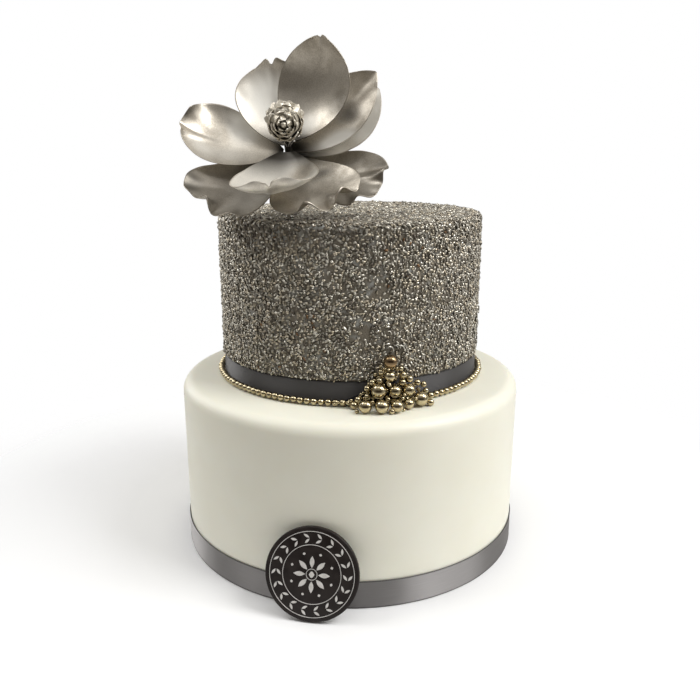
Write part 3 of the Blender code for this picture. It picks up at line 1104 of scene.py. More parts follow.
    def _directions(self, normals: Rows, tilt: Rows) -> Rows:
        """Random directions close to the surface.

        Args:
            normals: the surface's normals.
            tilt: how far each direction leans out of the surface, in radians.

        Returns:
            Unit directions, one row each.
        """
        upright = np.tile(np.array([0.0, 0.0, 1.0]), (len(normals), 1))
        upright[np.abs(normals[:, 2]) > 0.8] = (0.0, 1.0, 0.0)
        sideways = np.cross(upright, normals)
        sideways /= np.linalg.norm(sideways, axis=1)[:, None]
        up = np.cross(normals, sideways)
        yaw = self.random.uniform(0.0, math.tau, len(normals))
        flat = sideways * np.cos(yaw)[:, None] + up * np.sin(yaw)[:, None]
        return flat * np.cos(tilt)[:, None] + normals * np.sin(tilt)[:, None]

    def _stuck(self, points: Rows) -> Rows:
        """Which of the points keep their sprinkle, given the bare patches.

        Args:
            points: where the rods lie.

        Returns:
            True for each rod that is kept.
        """
        kept = np.ones(len(points), bool)
        for patch in self.bare_patches:
            turn = math.radians(patch.angle)
            outward = np.array((math.sin(turn), -math.cos(turn), 0.0))
            middle = np.array(self.shape.centre) + self.shape.radius * outward
            middle[2] = patch.height
            away = np.linalg.norm(points - middle, axis=1) / patch.reach
            chance = patch.thinning * np.clip(1.6 - 1.3 * away, 0.0, 1.0)
            kept &= self.random.uniform(0.0, 1.0, len(points)) > chance
        return kept

    def _lay_rods(self) -> Laying:
        """Settle where every rod lies.

        Returns:
            The rods' laying.
        """
        even_way, even_turn = self._even_places()
        loose_way, loose_turn = self._loose_places()
        way = np.concatenate([even_way, loose_way])
        turn = np.concatenate([even_turn, loose_turn])
        first = np.arange(way.size) < even_way.size
        sunk, resting = (self.random.uniform(*lifts, way.size) for lifts in (self.sunk, self.resting))
        lift = np.where(first, sunk, resting)
        points, normals = self._surface(way, turn, lift * MM)
        kept = self._stuck(points)
        lean = np.radians(np.where(first, *self.leans)) * self.random.standard_normal(way.size)
        stood = self.random.uniform(0.0, 1.0, way.size) < self.stood_share
        lean = np.where(stood, np.radians(self.random.uniform(*self.stood_leans, way.size)), lean)
        lies = self._directions(normals, lean)
        length = self.random.normal(1.0, self.length_spread, way.size)
        girth = self.random.normal(1.0, self.girth_spread, way.size)
        sizes = np.stack([girth, girth, length], axis=1)
        # The flower's painted shadow darkens the tints near it.
        tints = self._paint_flower_shadow(points, self.random.uniform(0.0, 1.0, way.size))
        return Laying(points, lies, sizes, tints).chosen(kept)

    def _paint_flower_shadow(self, points: Rows, tints: Rows) -> Rows:
        """Turn the rods' tints darker near the flower: a painted shadow of the flower.

        Args:
            points: where the rods lie.
            tints: their tints, 0 for the lightest.

        Returns:
            The new tints; past 1 a rod is darker than its sort's darkest.
        """
        away = (points - np.array(self.shadow_middle)) / np.array(self.shadow_reach)
        return tints + self.shadow_weight * np.exp(-np.sum(away ** 2, axis=1))

    def _lay_curls(self) -> Laying:
        """Settle where the bent strands lie, most of them low on the right.

        Returns:
            The strands' laying.
        """
        count = self.curl_count
        low_right = np.arange(count) < count * self.low_right_share
        turn = np.where(low_right, np.radians(self.random.uniform(*self.low_right_angles, count)),
                        self.random.uniform(0.0, math.tau, count))
        way = np.where(low_right, self.random.uniform(*self.low_right_ways, count),
                       self.random.uniform(0.0, self.shape.length * 0.95, count))
        points, normals = self._surface(way, turn, np.full(count, self.curl_lift))
        sizes = np.tile(self.random.uniform(0.6, 1.15, count)[:, None], (1, 3))
        return Laying(points, normals, sizes, self.random.uniform(0.0, 0.6, count))

    def _laying_tree(self, stock: Piece) -> Tree:
        """Geometry nodes that put the stock shape on every place and make it real.

        Args:
            stock: the shape that is repeated.

        Returns:
            The node tree.
        """
        tree = bpy.data.node_groups.new(f"lay {stock.name}", "GeometryNodeTree")
        for side in ("INPUT", "OUTPUT"):
            tree.interface.new_socket(name="Geometry", in_out=side, socket_type="NodeSocketGeometry")
        wires = Wiring(tree)
        places = wires.add("NodeGroupInput").outputs["Geometry"]
        shape = wires.add("GeometryNodeObjectInfo", {"Object": stock}).outputs["Geometry"]
        lie, size = (wires.add("GeometryNodeInputNamedAttribute", {"Name": name}, data_type="FLOAT_VECTOR")
                     for name in ("lie", "size"))
        turned = wires.add("FunctionNodeAlignRotationToVector", {"Vector": lie.outputs["Attribute"]},
                           axis="Z")
        laid = wires.add("GeometryNodeInstanceOnPoints", {
            "Points": places, "Instance": shape, "Rotation": turned.outputs["Rotation"],
            "Scale": size.outputs["Attribute"]})
        real = wires.add("GeometryNodeRealizeInstances", {"Geometry": laid.outputs["Instances"]})
        wires.add("NodeGroupOutput", {"Geometry": real.outputs["Geometry"]})
        return tree

    def _realise(self, stock: Piece, laying: Laying, finish: SprinkleFinish) -> None:
        """Join one sort of sprinkle into a single mesh piece and dress it.

        Args:
            stock: the shape that is repeated.
            laying: where each copy lies.
            finish: the finish, which names the piece too.
        """
        name = finish.name.replace(" ", "_")
        cloud = bpy.data.meshes.new(name)
        cloud.vertices.add(len(laying.places))
        cloud.vertices.foreach_set("co", laying.places.astype(np.float32).ravel())
        for label, rows in (("lie", laying.lies), ("size", laying.sizes)):
            layer = cloud.attributes.new(label, "FLOAT_VECTOR", "POINT")
            layer.data.foreach_set("vector", rows.astype(np.float32).ravel())
        self._mark(cloud, "tint", laying.tints)
        piece = new_object(name, cloud)
        piece.modifiers.new("lay", "NODES").node_group = self._laying_tree(stock)
        settled = bpy.context.evaluated_depsgraph_get()
        mesh = bpy.data.meshes.new_from_object(piece.evaluated_get(settled), preserve_all_data_layers=True,
                                               depsgraph=settled)
        piece.modifiers.clear()
        piece.data = mesh
        for label in ("lie", "size"):
            mesh.attributes.remove(mesh.attributes[label])
        # Painted shade on the rods' sides, where they turn from the open air.
        self._mark(mesh, "flank", self._painted_side_shade(mesh))
        mesh.materials.clear()
        mesh.materials.append(finish.material())
        settle(piece, Slot.SPRINKLES)

    def _mark(self, mesh: bpy.types.Mesh, name: str, values: Rows) -> None:
        """Give every corner of a mesh a value under a name."""
        mesh.attributes.new(name, "FLOAT", "POINT").data.foreach_set("value", values.astype(np.float32))

    def _painted_side_shade(self, mesh: bpy.types.Mesh) -> Rows:
        """How far each corner of the rods turns away from the open air.

        Args:
            mesh: the rods, laid.

        Returns:
            From 0 on a rod's crest to 1 on its sides, where shade is painted.
        """
        points, normals = np.empty((2, 3 * len(mesh.vertices)), np.float32)
        mesh.vertices.foreach_get("co", points)
        mesh.vertices.foreach_get("normal", normals)
        arms = points.reshape(-1, 3) - np.array(self.shape.centre)
        risen = np.clip((arms[:, 2] - self.shape.top) / self.shape.edge + 1.0, 0.0, 1.0)
        reach = np.maximum(np.linalg.norm(arms[:, :2], axis=1), self.rod_length)
        right, back = arms[:, 0] / reach, arms[:, 1] / reach
        outward = np.stack([right * (1.0 - risen), back * (1.0 - risen), risen], axis=1)
        outward /= np.linalg.norm(outward, axis=1)[:, None]
        facing = np.sum(outward * normals.reshape(-1, 3), axis=1)
        return np.clip((self.crest - facing) / self.crest, 0.0, 1.0) * (1.0 - 0.6 * risen)

    def build(self) -> None:
        """Lay every sort of sprinkle and dress them."""
        rods = self._lay_rods()
        draw = self.random.uniform(0.0, 1.0, len(rods.places))
        rod, curl = self._rod(), self._curl()
        reached = 0.0
        for kind in SprinkleKind:
            finish, share = kind.value
            mask = (draw >= reached) & (draw < reached + share)
            reached += share
            self._realise(rod, rods.chosen(mask), finish)
        strands = SprinkleFinish("bent strands", (0.80, 0.78, 0.72), (0.55, 0.50, 0.38))
        self._realise(curl, self._lay_curls(), strands)
        for stock in (rod, curl):
            bpy.data.objects.remove(stock)


# ----- Pearls -----

def add_pearl(work: Work, middle: Vector, radius: float, fineness: int, seed: float) -> None:
    """Add one slightly uneven sugar pearl.

    Args:
        work: the bmesh to add it to.
        middle: its centre.
        radius: its radius.
        fineness: how many times the ball is subdivided.
        seed: which unevenness it gets.
    """
    made = bmesh.ops.create_icosphere(work, subdivisions=fineness, radius=radius)["verts"]
    for corner in made:
        swell = 1.0 + 0.012 * noise.noise(corner.co / radius * 0.9 + Vector((seed, 0.0, 3.0 * seed)))
        corner.co = middle + corner.co * swell


@dataclass
class PearlBorder:
    """The string of small pearls round the foot of the upper tier."""

    tightness: float = 0.985
    size_spread: float = 0.02
    wander: float = 0.10 * MM

    def build(self, material: Material) -> None:
        """Model the string and dress it.

        Args:
            material: the pearls' finish.
        """
        low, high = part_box("pearl_border")
        radius = (high.z - low.z) / 2
        ring = (high.x - low.x) / 2 - radius
        middle = node_middle("pearl_border")
        count = round(math.tau * ring / (2 * radius * self.tightness))
        random = np.random.default_rng(SEED + 1)
        work = bmesh.new()
        for number in range(count):
            turn = math.tau * number / count
            size = radius * (1.0 - abs(random.normal(0.0, self.size_spread)))
            arm = ring + random.normal(0.0, self.wander)
            place = Vector((arm * math.sin(turn), -arm * math.cos(turn), 0.0)) + middle
            place.z = low.z + size
            add_pearl(work, place, size, 3, number * 1.7)
        settle(finish_piece("border_pearls", work, material, 180.0), Slot.PEARL, "pearl_border")


@dataclass
class PileShadowSheet:
    """A thin, near-black sheet on the ribbon beside the pile of pearls: the pile's painted shadow and
    reflection.

    middle and half_angle are degrees from the front, rise is the height of its peak, and
    hollow is how much its two slopes sag.
    """

    middle: float = 13.4
    half_angle: float = 20.6
    rise: float = 12.4 * MM
    hollow: float = 1.15
    thickness: float = 0.22 * MM
    stand_off: float = 0.30 * MM
    foot_gap: float = 0.1 * MM
    corner_height: float = 0.05 * MM
    colour: Colour = (0.012, 0.012, 0.019)

    def build(self) -> None:
        """Model the patch and dress it."""
        low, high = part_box("upper_ribbon")
        outer = (high.x - low.x) / 2 + self.stand_off
        work = bmesh.new()
        bmesh.ops.create_grid(work, x_segments=48, y_segments=8, size=1.0)
        for corner in work.verts:
            across, up = corner.co.x, 0.5 + 0.5 * corner.co.y
            turn = math.radians(self.middle + across * self.half_angle)
            peak = self.rise * (1.0 - abs(across)) ** self.hollow
            level = low.z + self.foot_gap + up * (self.corner_height + peak)
            corner.co = (outer * math.sin(turn), -outer * math.cos(turn), level)
        bmesh.ops.recalc_face_normals(work, faces=work.faces[:])
        bmesh.ops.solidify(work, geom=work.faces[:], thickness=self.thickness)
        wind_uv(work, outer, low.z)
        bmesh.ops.translate(work, verts=work.verts[:], vec=(0.0, (low.y + high.y) / 2, 0.0))
        # Painted shadow and reflection of the pile on the ribbon.
        material = SatinFinish("navy satin", self.colour, 0.3, 0.55, high.z - low.z).material()
        settle(finish_piece("navy_patch", work, material, 40.0), Slot.SLATE_SATIN)


@dataclass(frozen=True)
class SidePearl:
    """A small pearl against the upper tier: degrees from the front, height of its centre, radius.

    The height is over the lower tier, and both lengths are in millimetres.
    """

    angle: float
    height: float
    radius: float


@dataclass(frozen=True)
class TopPearl:
    """A small pearl that lies on the lower tier, in millimetres: its place and radius."""

    x: float
    y: float
    radius: float


@dataclass
class PearlPile:
    """The pile of pearls at the front: ten large ones, and small ones in between.

    The fillers lie in a bank that narrows upwards: bank_left and bank_right are the
    degrees from the front at its foot and how much they close in by its top.
    """

    side_pearls: tuple[SidePearl, ...] = tuple(SidePearl(*spot) for spot in (
        (2.8, 5.5, 1.8), (6.2, 6.9, 1.8), (6.0, 11.5, 1.7), (7.9, 14.7, 1.7), (10.6, 15.5, 1.8),
        (11.2, 20.2, 1.7), (18.6, 21.3, 1.5), (19.4, 17.8, 2.0), (22.0, 15.2, 2.0), (19.2, 13.6, 2.1),
        (25.3, 12.5, 1.8), (28.0, 10.9, 1.7), (29.1, 7.0, 1.6), (31.2, 3.8, 2.0), (0.4, 4.7, 1.0),
        (-0.8, 3.4, 1.1), (-2.5, 3.4, 0.8), (-4.2, 3.5, 0.8), (-5.9, 2.4, 0.8), (4.0, 8.1, 0.9)))
    gap_pearls: tuple[SidePearl, ...] = tuple(SidePearl(*spot) for spot in (
        (12.9, 6.6, 1.2), (18.1, 6.3, 1.1), (7.6, 5.5, 1.0), (13.2, 14.6, 1.2), (18.7, 8.2, 1.0),
        (23.0, 5.3, 1.1)))
    top_pearls: tuple[TopPearl, ...] = tuple(TopPearl(*spot) for spot in (
        (2.2, -76.8, 2.2), (43.4, -71.1, 2.0), (22.0, -84.2, 1.6), (28.6, -80.2, 0.8), (3.6, -83.2, 1.1)))
    large_count: int = 10
    bronze_number: int = 1
    stand_off: float = 2.2 * MM
    gap_stand_off: float = 9.0 * MM
    filler_count: int = 150
    filler_sizes: Pair = (1.0 * MM, 1.5 * MM)
    filler_closeness: float = 0.86
    bank_left: Pair = (2.5, 9.0)
    bank_right: Pair = (29.5, 13.0)
    bank_top_gap: float = 3.0 * MM

    def _place(self, angle: float, distance: float, height: float) -> Vector:
        """A point by degrees from the front, distance from the upper tier's axis and height."""
        across, inward = math.sin(math.radians(angle)), math.cos(math.radians(angle))
        return Vector((distance * across, node_middle("upper_tier").y - distance * inward, height))

    def _fillers(self, work: Work, side: float) -> None:
        """Fill the bank behind the others with small pearls, kept apart from each other.

        Args:
            work: the bmesh of small pearls.
            side: the radius of the surface that they lean on.
        """
        random = np.random.default_rng(SEED + 2)
        low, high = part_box("pearl_small")
        kept: list[tuple[Vector, float]] = []
        for _ in range(self.filler_count * 8):
            up = random.uniform(0.0, 1.0)
            left = self.bank_left[0] + self.bank_left[1] * up
            right = self.bank_right[0] - self.bank_right[1] * up
            size = random.uniform(*self.filler_sizes)
            height = low.z + (high.z - self.bank_top_gap - low.z) * up
            place = self._place(random.uniform(left, right), side + size * 0.8, height)
            if all((place - other).length > self.filler_closeness * (size + reach) for other, reach in kept):
                kept.append((place, size))
            if len(kept) >= self.filler_count:
                break
        for number, (place, size) in enumerate(kept):
            add_pearl(work, place, size, 2, 40.0 + number)

    def build(self, material: Material) -> None:
        """Model the pile and dress it.

        Args:
            material: the pearls' finish; one large pearl is bronze instead.
        """
        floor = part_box("lower_tier")[1].z
        side = node_size("upper_tier").x / 2
        bronze = PearlFinish("bronze pearl", (0.31, 0.215, 0.12), (0.24, 0.165, 0.09), 0.14).material()
        for number in range(1, self.large_count + 1):
            node = f"pearl_{number:02d}"
            work = bmesh.new()
            add_pearl(work, node_middle(node), node_size(node).z / 2, 5, number * 2.3)
            finish = bronze if number == self.bronze_number else material
            settle(finish_piece(f"large_{node}", work, finish, 180.0), Slot.PEARL, node)
        work = bmesh.new()
        for number, spot in enumerate(self.side_pearls):
            reach = side + self.stand_off + spot.radius * MM
            place = self._place(spot.angle, reach, floor + spot.height * MM)
            add_pearl(work, place, spot.radius * MM, 4, number * 0.9)
        for number, spot in enumerate(self.gap_pearls):
            place = self._place(spot.angle, side + self.gap_stand_off, floor + spot.height * MM)
            add_pearl(work, place, spot.radius * MM, 3, 20.0 + number)
        for number, spot in enumerate(self.top_pearls):
            place = Vector((spot.x * MM, spot.y * MM, floor + spot.radius * MM))
            add_pearl(work, place, spot.radius * MM, 4, 30.0 + number)
        self._fillers(work, side)
        settle(finish_piece("small_pearls", work, material, 180.0), Slot.PEARL, "pearl_small")


# ----- Magnolia -----

@dataclass(frozen=True)
class Frill:
    """A wave of a petal's rim: degrees round the rim, lift in millimetres, spread in degrees."""

    angle: float
    lift: float
    spread: float


@dataclass(frozen=True)
class Notch:
    """A dent in a petal's tip: place across it from -1 to 1, depth as a share of the length, spread."""

    across: float
    depth: float
    spread: float


@dataclass(frozen=True)
class LightShadePatch:
    """A patch of painted light on a petal, or of painted shade where the weight is negative.

    along goes from 0 at the root to 1 at the tip and across from -1 to 1; reach and width
    are the patch's spread in the same shares.
    """

    along: float
    across: float
    reach: float
    width: float
    weight: float

    def at(self, along: float, across: float) -> float:
        """The patch's weight at a place on the petal."""
        away = ((along - self.along) / self.reach) ** 2 + ((across - self.across) / self.width) ** 2
        return self.weight * math.exp(-away)


@dataclass(frozen=True)
class PetalForm:
    """One petal's form: angles in degrees, lengths in millimetres.

    clock is the direction round the flower's axis, opening the angle away from it and
    drop how far behind the heart it is set. narrow_root and narrow_tip say how fast the
    width falls off to the two ends. arc is the midrib's whole turn, cup the half angle of
    the hollow across it, bend its sideways sweep and curl the extra turn of its last third.
    root_shade is the share of the length over which shade is painted, darkest at the root;
    pale and dull say how much painted light and painted shade the whole petal gets, and
    dusted gives patches of painted light and shade on top of that. blunt says how wide the
    tip is cut: 1 comes to a point.
    """

    node: str
    drop: float
    clock: float
    opening: float
    roll: float
    length: float
    width: float
    narrow_root: float
    narrow_tip: float
    arc: float
    cup: float
    bend: float
    curl: float
    frills: tuple[Frill, ...] = ()
    notches: tuple[Notch, ...] = ()
    root_shade: float = 0.24
    pale: float = 0.0
    dull: float = 0.0
    blunt: float = 0.995
    dusted: tuple[LightShadePatch, ...] = ()


# Each petal's root_shade, pale, dull and patches are painted light and shade.
PETAL_FORMS = (
    PetalForm("petal_back", 0.0, 24.0, 53.5, -9.5, 63.0, 45.5, 0.91, 0.74, 78.0, 23.0, 4.0, 8.0,
              (Frill(5.0, -1.2, 3.0),),
              (Notch(0.42, 0.030, 0.22), Notch(1.0, 0.030, 0.45), Notch(-1.0, 0.045, 0.60)),
              dull=0.12, blunt=0.970,
              dusted=(LightShadePatch(0.42, -0.85, 0.16, 0.45, -0.60), LightShadePatch(0.20, -0.25, 0.12, 0.50, 0.70),
                      LightShadePatch(0.95, 0.0, 0.14, 0.80, -0.24))),
    PetalForm("petal_back_left", 4.0, -12.5, 70.0, -2.5, 54.0, 45.5, 0.93, 0.75, 41.5, 26.5, -13.5, 24.0,
              (Frill(-9.0, 1.2, 6.0), Frill(8.0, 1.2, 6.0)),
              (Notch(-0.12, 0.085, 0.20), Notch(1.0, 0.120, 0.62), Notch(-1.0, 0.070, 0.45)),
              blunt=0.932, pale=0.20,
              dusted=(LightShadePatch(0.56, 0.15, 0.28, 0.60, 0.95), LightShadePatch(1.0, -0.70, 0.12, 0.50, -0.90),
                      LightShadePatch(1.0, 0.25, 0.08, 0.30, -0.60))),
    PetalForm("petal_left", 7.5, -78.5, 78.0, 0.0, 61.0, 41.0, 0.97, 0.60, 50.0, 30.0, 2.0, 16.0,
              (Frill(-16.0, 2.4, 10.0), Frill(4.0, -1.2, 5.0), Frill(11.0, 1.5, 5.0)),
              root_shade=0.13, dull=0.06, blunt=0.965,
              dusted=(LightShadePatch(0.44, -0.65, 0.17, 0.50, 1.30), LightShadePatch(0.45, 0.55, 0.22, 0.40, 0.30),
                      LightShadePatch(0.68, -0.15, 0.13, 0.45, -0.58), LightShadePatch(0.75, 0.55, 0.14, 0.40, 0.40),
                      LightShadePatch(1.0, -0.55, 0.06, 0.45, -0.80))),
    PetalForm("petal_right", 7.5, 52.0, 70.5, 1.5, 65.0, 41.0, 0.93, 0.89, 40.5, 29.5, -6.5, -3.0,
              (Frill(-6.0, 1.2, 7.0), Frill(9.0, 1.2, 7.0)), root_shade=0.24, dull=0.12,
              dusted=(LightShadePatch(0.34, -0.80, 0.20, 0.40, 1.60), LightShadePatch(0.58, -0.35, 0.13, 0.50, -0.95))),
    PetalForm("petal_right_outer", 10.0, 52.5, 78.5, 3.0, 63.0, 44.0, 0.94, 0.76, 38.0, 27.0, 1.5, 1.0,
              pale=0.7,
              dusted=(LightShadePatch(0.75, -0.85, 0.22, 0.35, 0.40), LightShadePatch(0.45, -0.85, 0.08, 0.40, -0.35))),
    PetalForm("petal_low_right", 11.5, 113.5, 87.0, -4.0, 55.0, 43.0, 0.94, 0.37, 46.0, 24.0, -12.0, 4.0,
              (Frill(16.0, 5.5, 7.0), Frill(30.0, -2.0, 6.0), Frill(-14.0, -1.5, 8.0),
               Frill(-30.0, 5.5, 8.0)), dull=0.34),
    PetalForm("petal_low_front", 8.5, 153.0, 75.5, 0.0, 50.0, 53.0, 0.95, 0.43, 50.0, 25.5, -2.0, 1.0,
              (Frill(-21.0, 7.5, 7.0), Frill(0.0, -2.5, 8.0), Frill(22.0, 7.0, 7.0), Frill(40.0, -2.5, 7.0)),
              root_shade=0.42,
              dusted=(LightShadePatch(0.52, 0.80, 0.18, 0.40, -0.26), LightShadePatch(0.75, -0.30, 0.13, 0.45, 0.35),
                      LightShadePatch(0.36, 0.50, 0.09, 0.35, -0.70), LightShadePatch(0.62, -0.90, 0.16, 0.35, -0.55))),
    PetalForm("petal_front", 3.0, 187.0, 60.0, 11.0, 58.5, 50.5, 0.79, 0.52, 70.0, 37.0, 13.0, 52.0,
              (Frill(13.0, 3.0, 10.0), Frill(-15.0, 3.0, 8.0), Frill(0.0, -1.5, 5.0)),
              (Notch(0.15, 0.040, 0.20),), root_shade=0.34, pale=0.58,
              dusted=(LightShadePatch(0.34, 0.60, 0.16, 0.32, -0.85), LightShadePatch(0.95, 0.0, 0.10, 1.0, -0.40))),
    PetalForm("petal_low_left", 10.5, 232.0, 79.5, 6.0, 61.5, 47.0, 0.95, 0.37, 59.5, 22.5, 0.5, 4.0,
              (Frill(-24.0, -2.5, 8.0), Frill(9.0, 6.0, 6.5), Frill(24.0, -2.5, 7.0), Frill(38.0, 3.0, 6.5)),
              root_shade=0.60, dull=0.30,
              dusted=(LightShadePatch(0.88, -0.80, 0.16, 0.55, -0.80), LightShadePatch(0.62, 0.60, 0.20, 0.40, 0.35))),
)


@dataclass
class FlowerAxes:
    """The flower's heart, and its axis with the two directions across it."""

    heart: Vector = field(default_factory=lambda: Vector((-34.5, -24.0, 239.8)) * MM)
    elevation: float = 40.0

    def __post_init__(self) -> None:
        """Work out the way the flower faces, and the two directions across it."""
        lean = math.radians(self.elevation)
        self.axis = Vector((0.0, -math.cos(lean), math.sin(lean)))
        self.up = Vector((0.0, math.sin(lean), math.cos(lean)))
        self.right = Vector((1.0, 0.0, 0.0))

    def outward(self, turn: float) -> Vector:
        """Across the axis, in the direction that a turn in radians from upwards gives."""
        return self.up * math.cos(turn) + self.right * math.sin(turn)

    def frame(self) -> Matrix:
        """The turn that carries +X to the right, +Y to upwards and +Z to the axis."""
        return Matrix((self.right, self.up, self.axis)).transposed().to_4x4()


@dataclass
class Petal:
    """A sugar petal: a cupped sheet with a frilled rim.

    edge_band and tip_band are the shares of the half width and of the length over which
    the rim tone is laid. root_place is how far along the full outline the petal
    starts, and curl_start and dent_start how far along it the tip's curl and dents do.
    """

    form: PetalForm
    axes: FlowerAxes
    root_radius: float = 3.0 * MM
    thickness: float = 0.55 * MM
    rows: int = 56
    columns: int = 40
    midrib_steps: int = 92
    unevenness: float = 0.30 * MM
    lump: float = 7.0 * MM
    edge_band: float = 0.03
    tip_band: float = 0.015
    root_place: float = 0.03
    curl_start: float = 0.7
    dent_start: float = 0.5

    def __post_init__(self) -> None:
        """Work out the petal's own axes and its midrib."""
        form = self.form
        clock, opening, roll = (math.radians(angle) for angle in (form.clock, form.opening, form.roll))
        outward = self.axes.outward(clock)
        self.forward = self.axes.axis * math.cos(opening) + outward * math.sin(opening)
        hollow = self.axes.axis * math.sin(opening) - outward * math.cos(opening)
        side = hollow.cross(self.forward)
        self.sideways = side * math.cos(roll) + hollow * math.sin(roll)
        self.hollow = hollow * math.cos(roll) - side * math.sin(roll)
        self.origin = self.axes.heart + outward * self.root_radius - self.axes.axis * form.drop * MM
        self.midrib = [ORIGIN]
        step = form.length * MM / self.midrib_steps
        for number in range(self.midrib_steps):
            turn, sweep = self._turns((number + 0.5) / self.midrib_steps)
            level = math.cos(turn)
            ahead = Vector((level * math.cos(sweep), level * math.sin(sweep), math.sin(turn)))
            self.midrib.append(self.midrib[-1] + ahead * step)

    def _turns(self, along: float) -> Pair:
        """The midrib's two turns at a place along the petal.

        Args:
            along: from 0 at the root to 1 at the tip.

        Returns:
            Its turn towards the flower's axis and its sideways turn, in radians.
        """
        tip = max(0.0, (along - self.curl_start) / 0.3) ** 2
        turn = math.radians(self.form.arc) * (along - 0.5) + math.radians(self.form.curl) * tip
        return turn, math.radians(self.form.bend) * (along - 0.5)

    def _half_width(self, along: float) -> float:
        """Half the width at a place along the petal.

        Args:
            along: from 0 at the root to 1 at the tip.

        Returns:
            The half width in metres.
        """
        form = self.form
        place = self.root_place + (form.blunt - self.root_place) * min(along, 1.0)
        widest = form.narrow_root / (form.narrow_root + form.narrow_tip)
        rise = (place / widest) ** form.narrow_root
        fall = ((1.0 - place) / (1.0 - widest)) ** form.narrow_tip
        return 0.5 * form.width * MM * rise * fall

    def _frill_lift(self, along: float, across: float, half_width: float) -> float:
        """How far the rim's waves lift a point of the petal.

        Args:
            along: from 0 at the root to 1 at the tip.
            across: from -1 to 1.
            half_width: half the width there.

        Returns:
            The lift in metres.
        """
        rim = 1.0 - (1.0 - abs(across) ** 3) * (1.0 - max(0.0, (along - 0.4) / 0.6) ** 4)
        rim *= min(1.0, 2.5 * along)
        way = math.degrees(math.atan2(half_width * across, (along - 0.45) * self.form.length * MM))
        lift = 0.0
        for frill in self.form.frills:
            away = (way - frill.angle + 180.0) % 360.0 - 180.0
            lift += frill.lift * MM * rim * math.exp(-(away / frill.spread) ** 2)
        return lift

    def point(self, along: float, across: float) -> Vector:
        """A point of the petal's middle surface.

        Args:
            along: from 0 at the root to 1 at the tip.
            across: from -1 to 1.

        Returns:
            The point in the cake's frame.
        """
        half_width = self._half_width(along)
        dent = sum(notch.depth * math.exp(-((across - notch.across) / notch.spread) ** 2)
                   for notch in self.form.notches)
        along *= 1.0 - dent * max(0.0, (along - self.dent_start) / 0.5)
        bulge = math.sin(math.pi * min(1.0, along * 0.85 + 0.1))
        cup = math.radians(self.form.cup) * (0.55 + 0.45 * bulge)
        offset = half_width / cup * math.sin(cup * across)
        lift = half_width / cup * (1.0 - math.cos(cup * across))
        lift += self._frill_lift(along, across, half_width)
        turn, sweep = self._turns(along)
        reached = along * self.midrib_steps
        whole = min(int(reached), self.midrib_steps - 1)
        point = self.midrib[whole].lerp(self.midrib[whole + 1], reached - whole)
        point = point + Vector((-math.sin(turn) * lift, 0.0, math.cos(turn) * lift))
        point += Vector((-math.sin(sweep) * offset, math.cos(sweep) * offset, 0.0))
        place = self.origin + self.forward * point.x + self.sideways * point.y + self.hollow * point.z
        rim = max(abs(across) ** 2, along ** 3) * min(1.0, 2.0 * along)
        return place + self.hollow * self.unevenness * (0.3 + rim) * waver(place, self.lump, 4.0)

    def build(self, material: Material) -> None:
        """Model the petal and dress it.

        Args:
            material: the petal's finish.
        """
        work = bmesh.new()
        bmesh.ops.create_grid(work, x_segments=self.rows, y_segments=self.columns, size=1.0)
        layer = work.loops.layers.uv.new("laid")
        rim, root, pale = (work.verts.layers.float.new(name) for name in ("rim", "root", "pale"))
        for face in work.faces:
            for loop in face.loops:
                along = 0.5 + 0.5 * loop.vert.co.x
                loop[layer].uv = (along * self.form.length * MM, loop.vert.co.y * self._half_width(along))
        for corner in work.verts:
            along, across = 0.5 + 0.5 * corner.co.x, corner.co.y
            edge = max(0.0, (abs(across) - (1.0 - self.edge_band)) / self.edge_band)
            tip = max(0.0, (along - (1.0 - self.tip_band)) / self.tip_band)
            # Painted light where dust is positive, painted shade where it is negative.
            dust = self.form.pale + sum(patch.at(along, across) for patch in self.form.dusted)
            # Painted shade, darkest at the root.
            bare = min(1.0, max(0.0, 1.25 - along / self.form.root_shade)) ** 1.5
            corner[rim] = min(1.0, edge + tip)
            corner[root] = max(self.form.dull, bare, -dust)
            corner[pale] = min(1.0, max(0.0, dust))
            corner.co = self.point(along, across)
        piece = finish_piece(f"sugar_{self.form.node}", work, material, 180.0)
        wall = piece.modifiers.new("thickness", "SOLIDIFY")
        wall.thickness = self.thickness
        wall.offset = 0.0
        smooth = piece.modifiers.new("rounding", "SUBSURF")
        smooth.levels = 1
        smooth.render_levels = 1
        settle(piece, Slot.LUSTRE, self.form.node)


@dataclass(frozen=True)
class BractRing:
    """One ring of bracts round the flower's middle.

    tip is how far the tips lie from the middle of the face and span how far the bracts
    reach, both in degrees; a negative span turns the tips away from the middle. half_width
    and the tips' lift are in millimetres, and offset turns the ring by a share of one
    bract. point is how pointed the tips are, and a ring with a gap leaves that many
    degrees open at the bottom.
    """

    tip: float
    count: int
    half_width: float
    lift: float
    span: float
    offset: float
    point: float = 0.45
    gap: float = 0.0


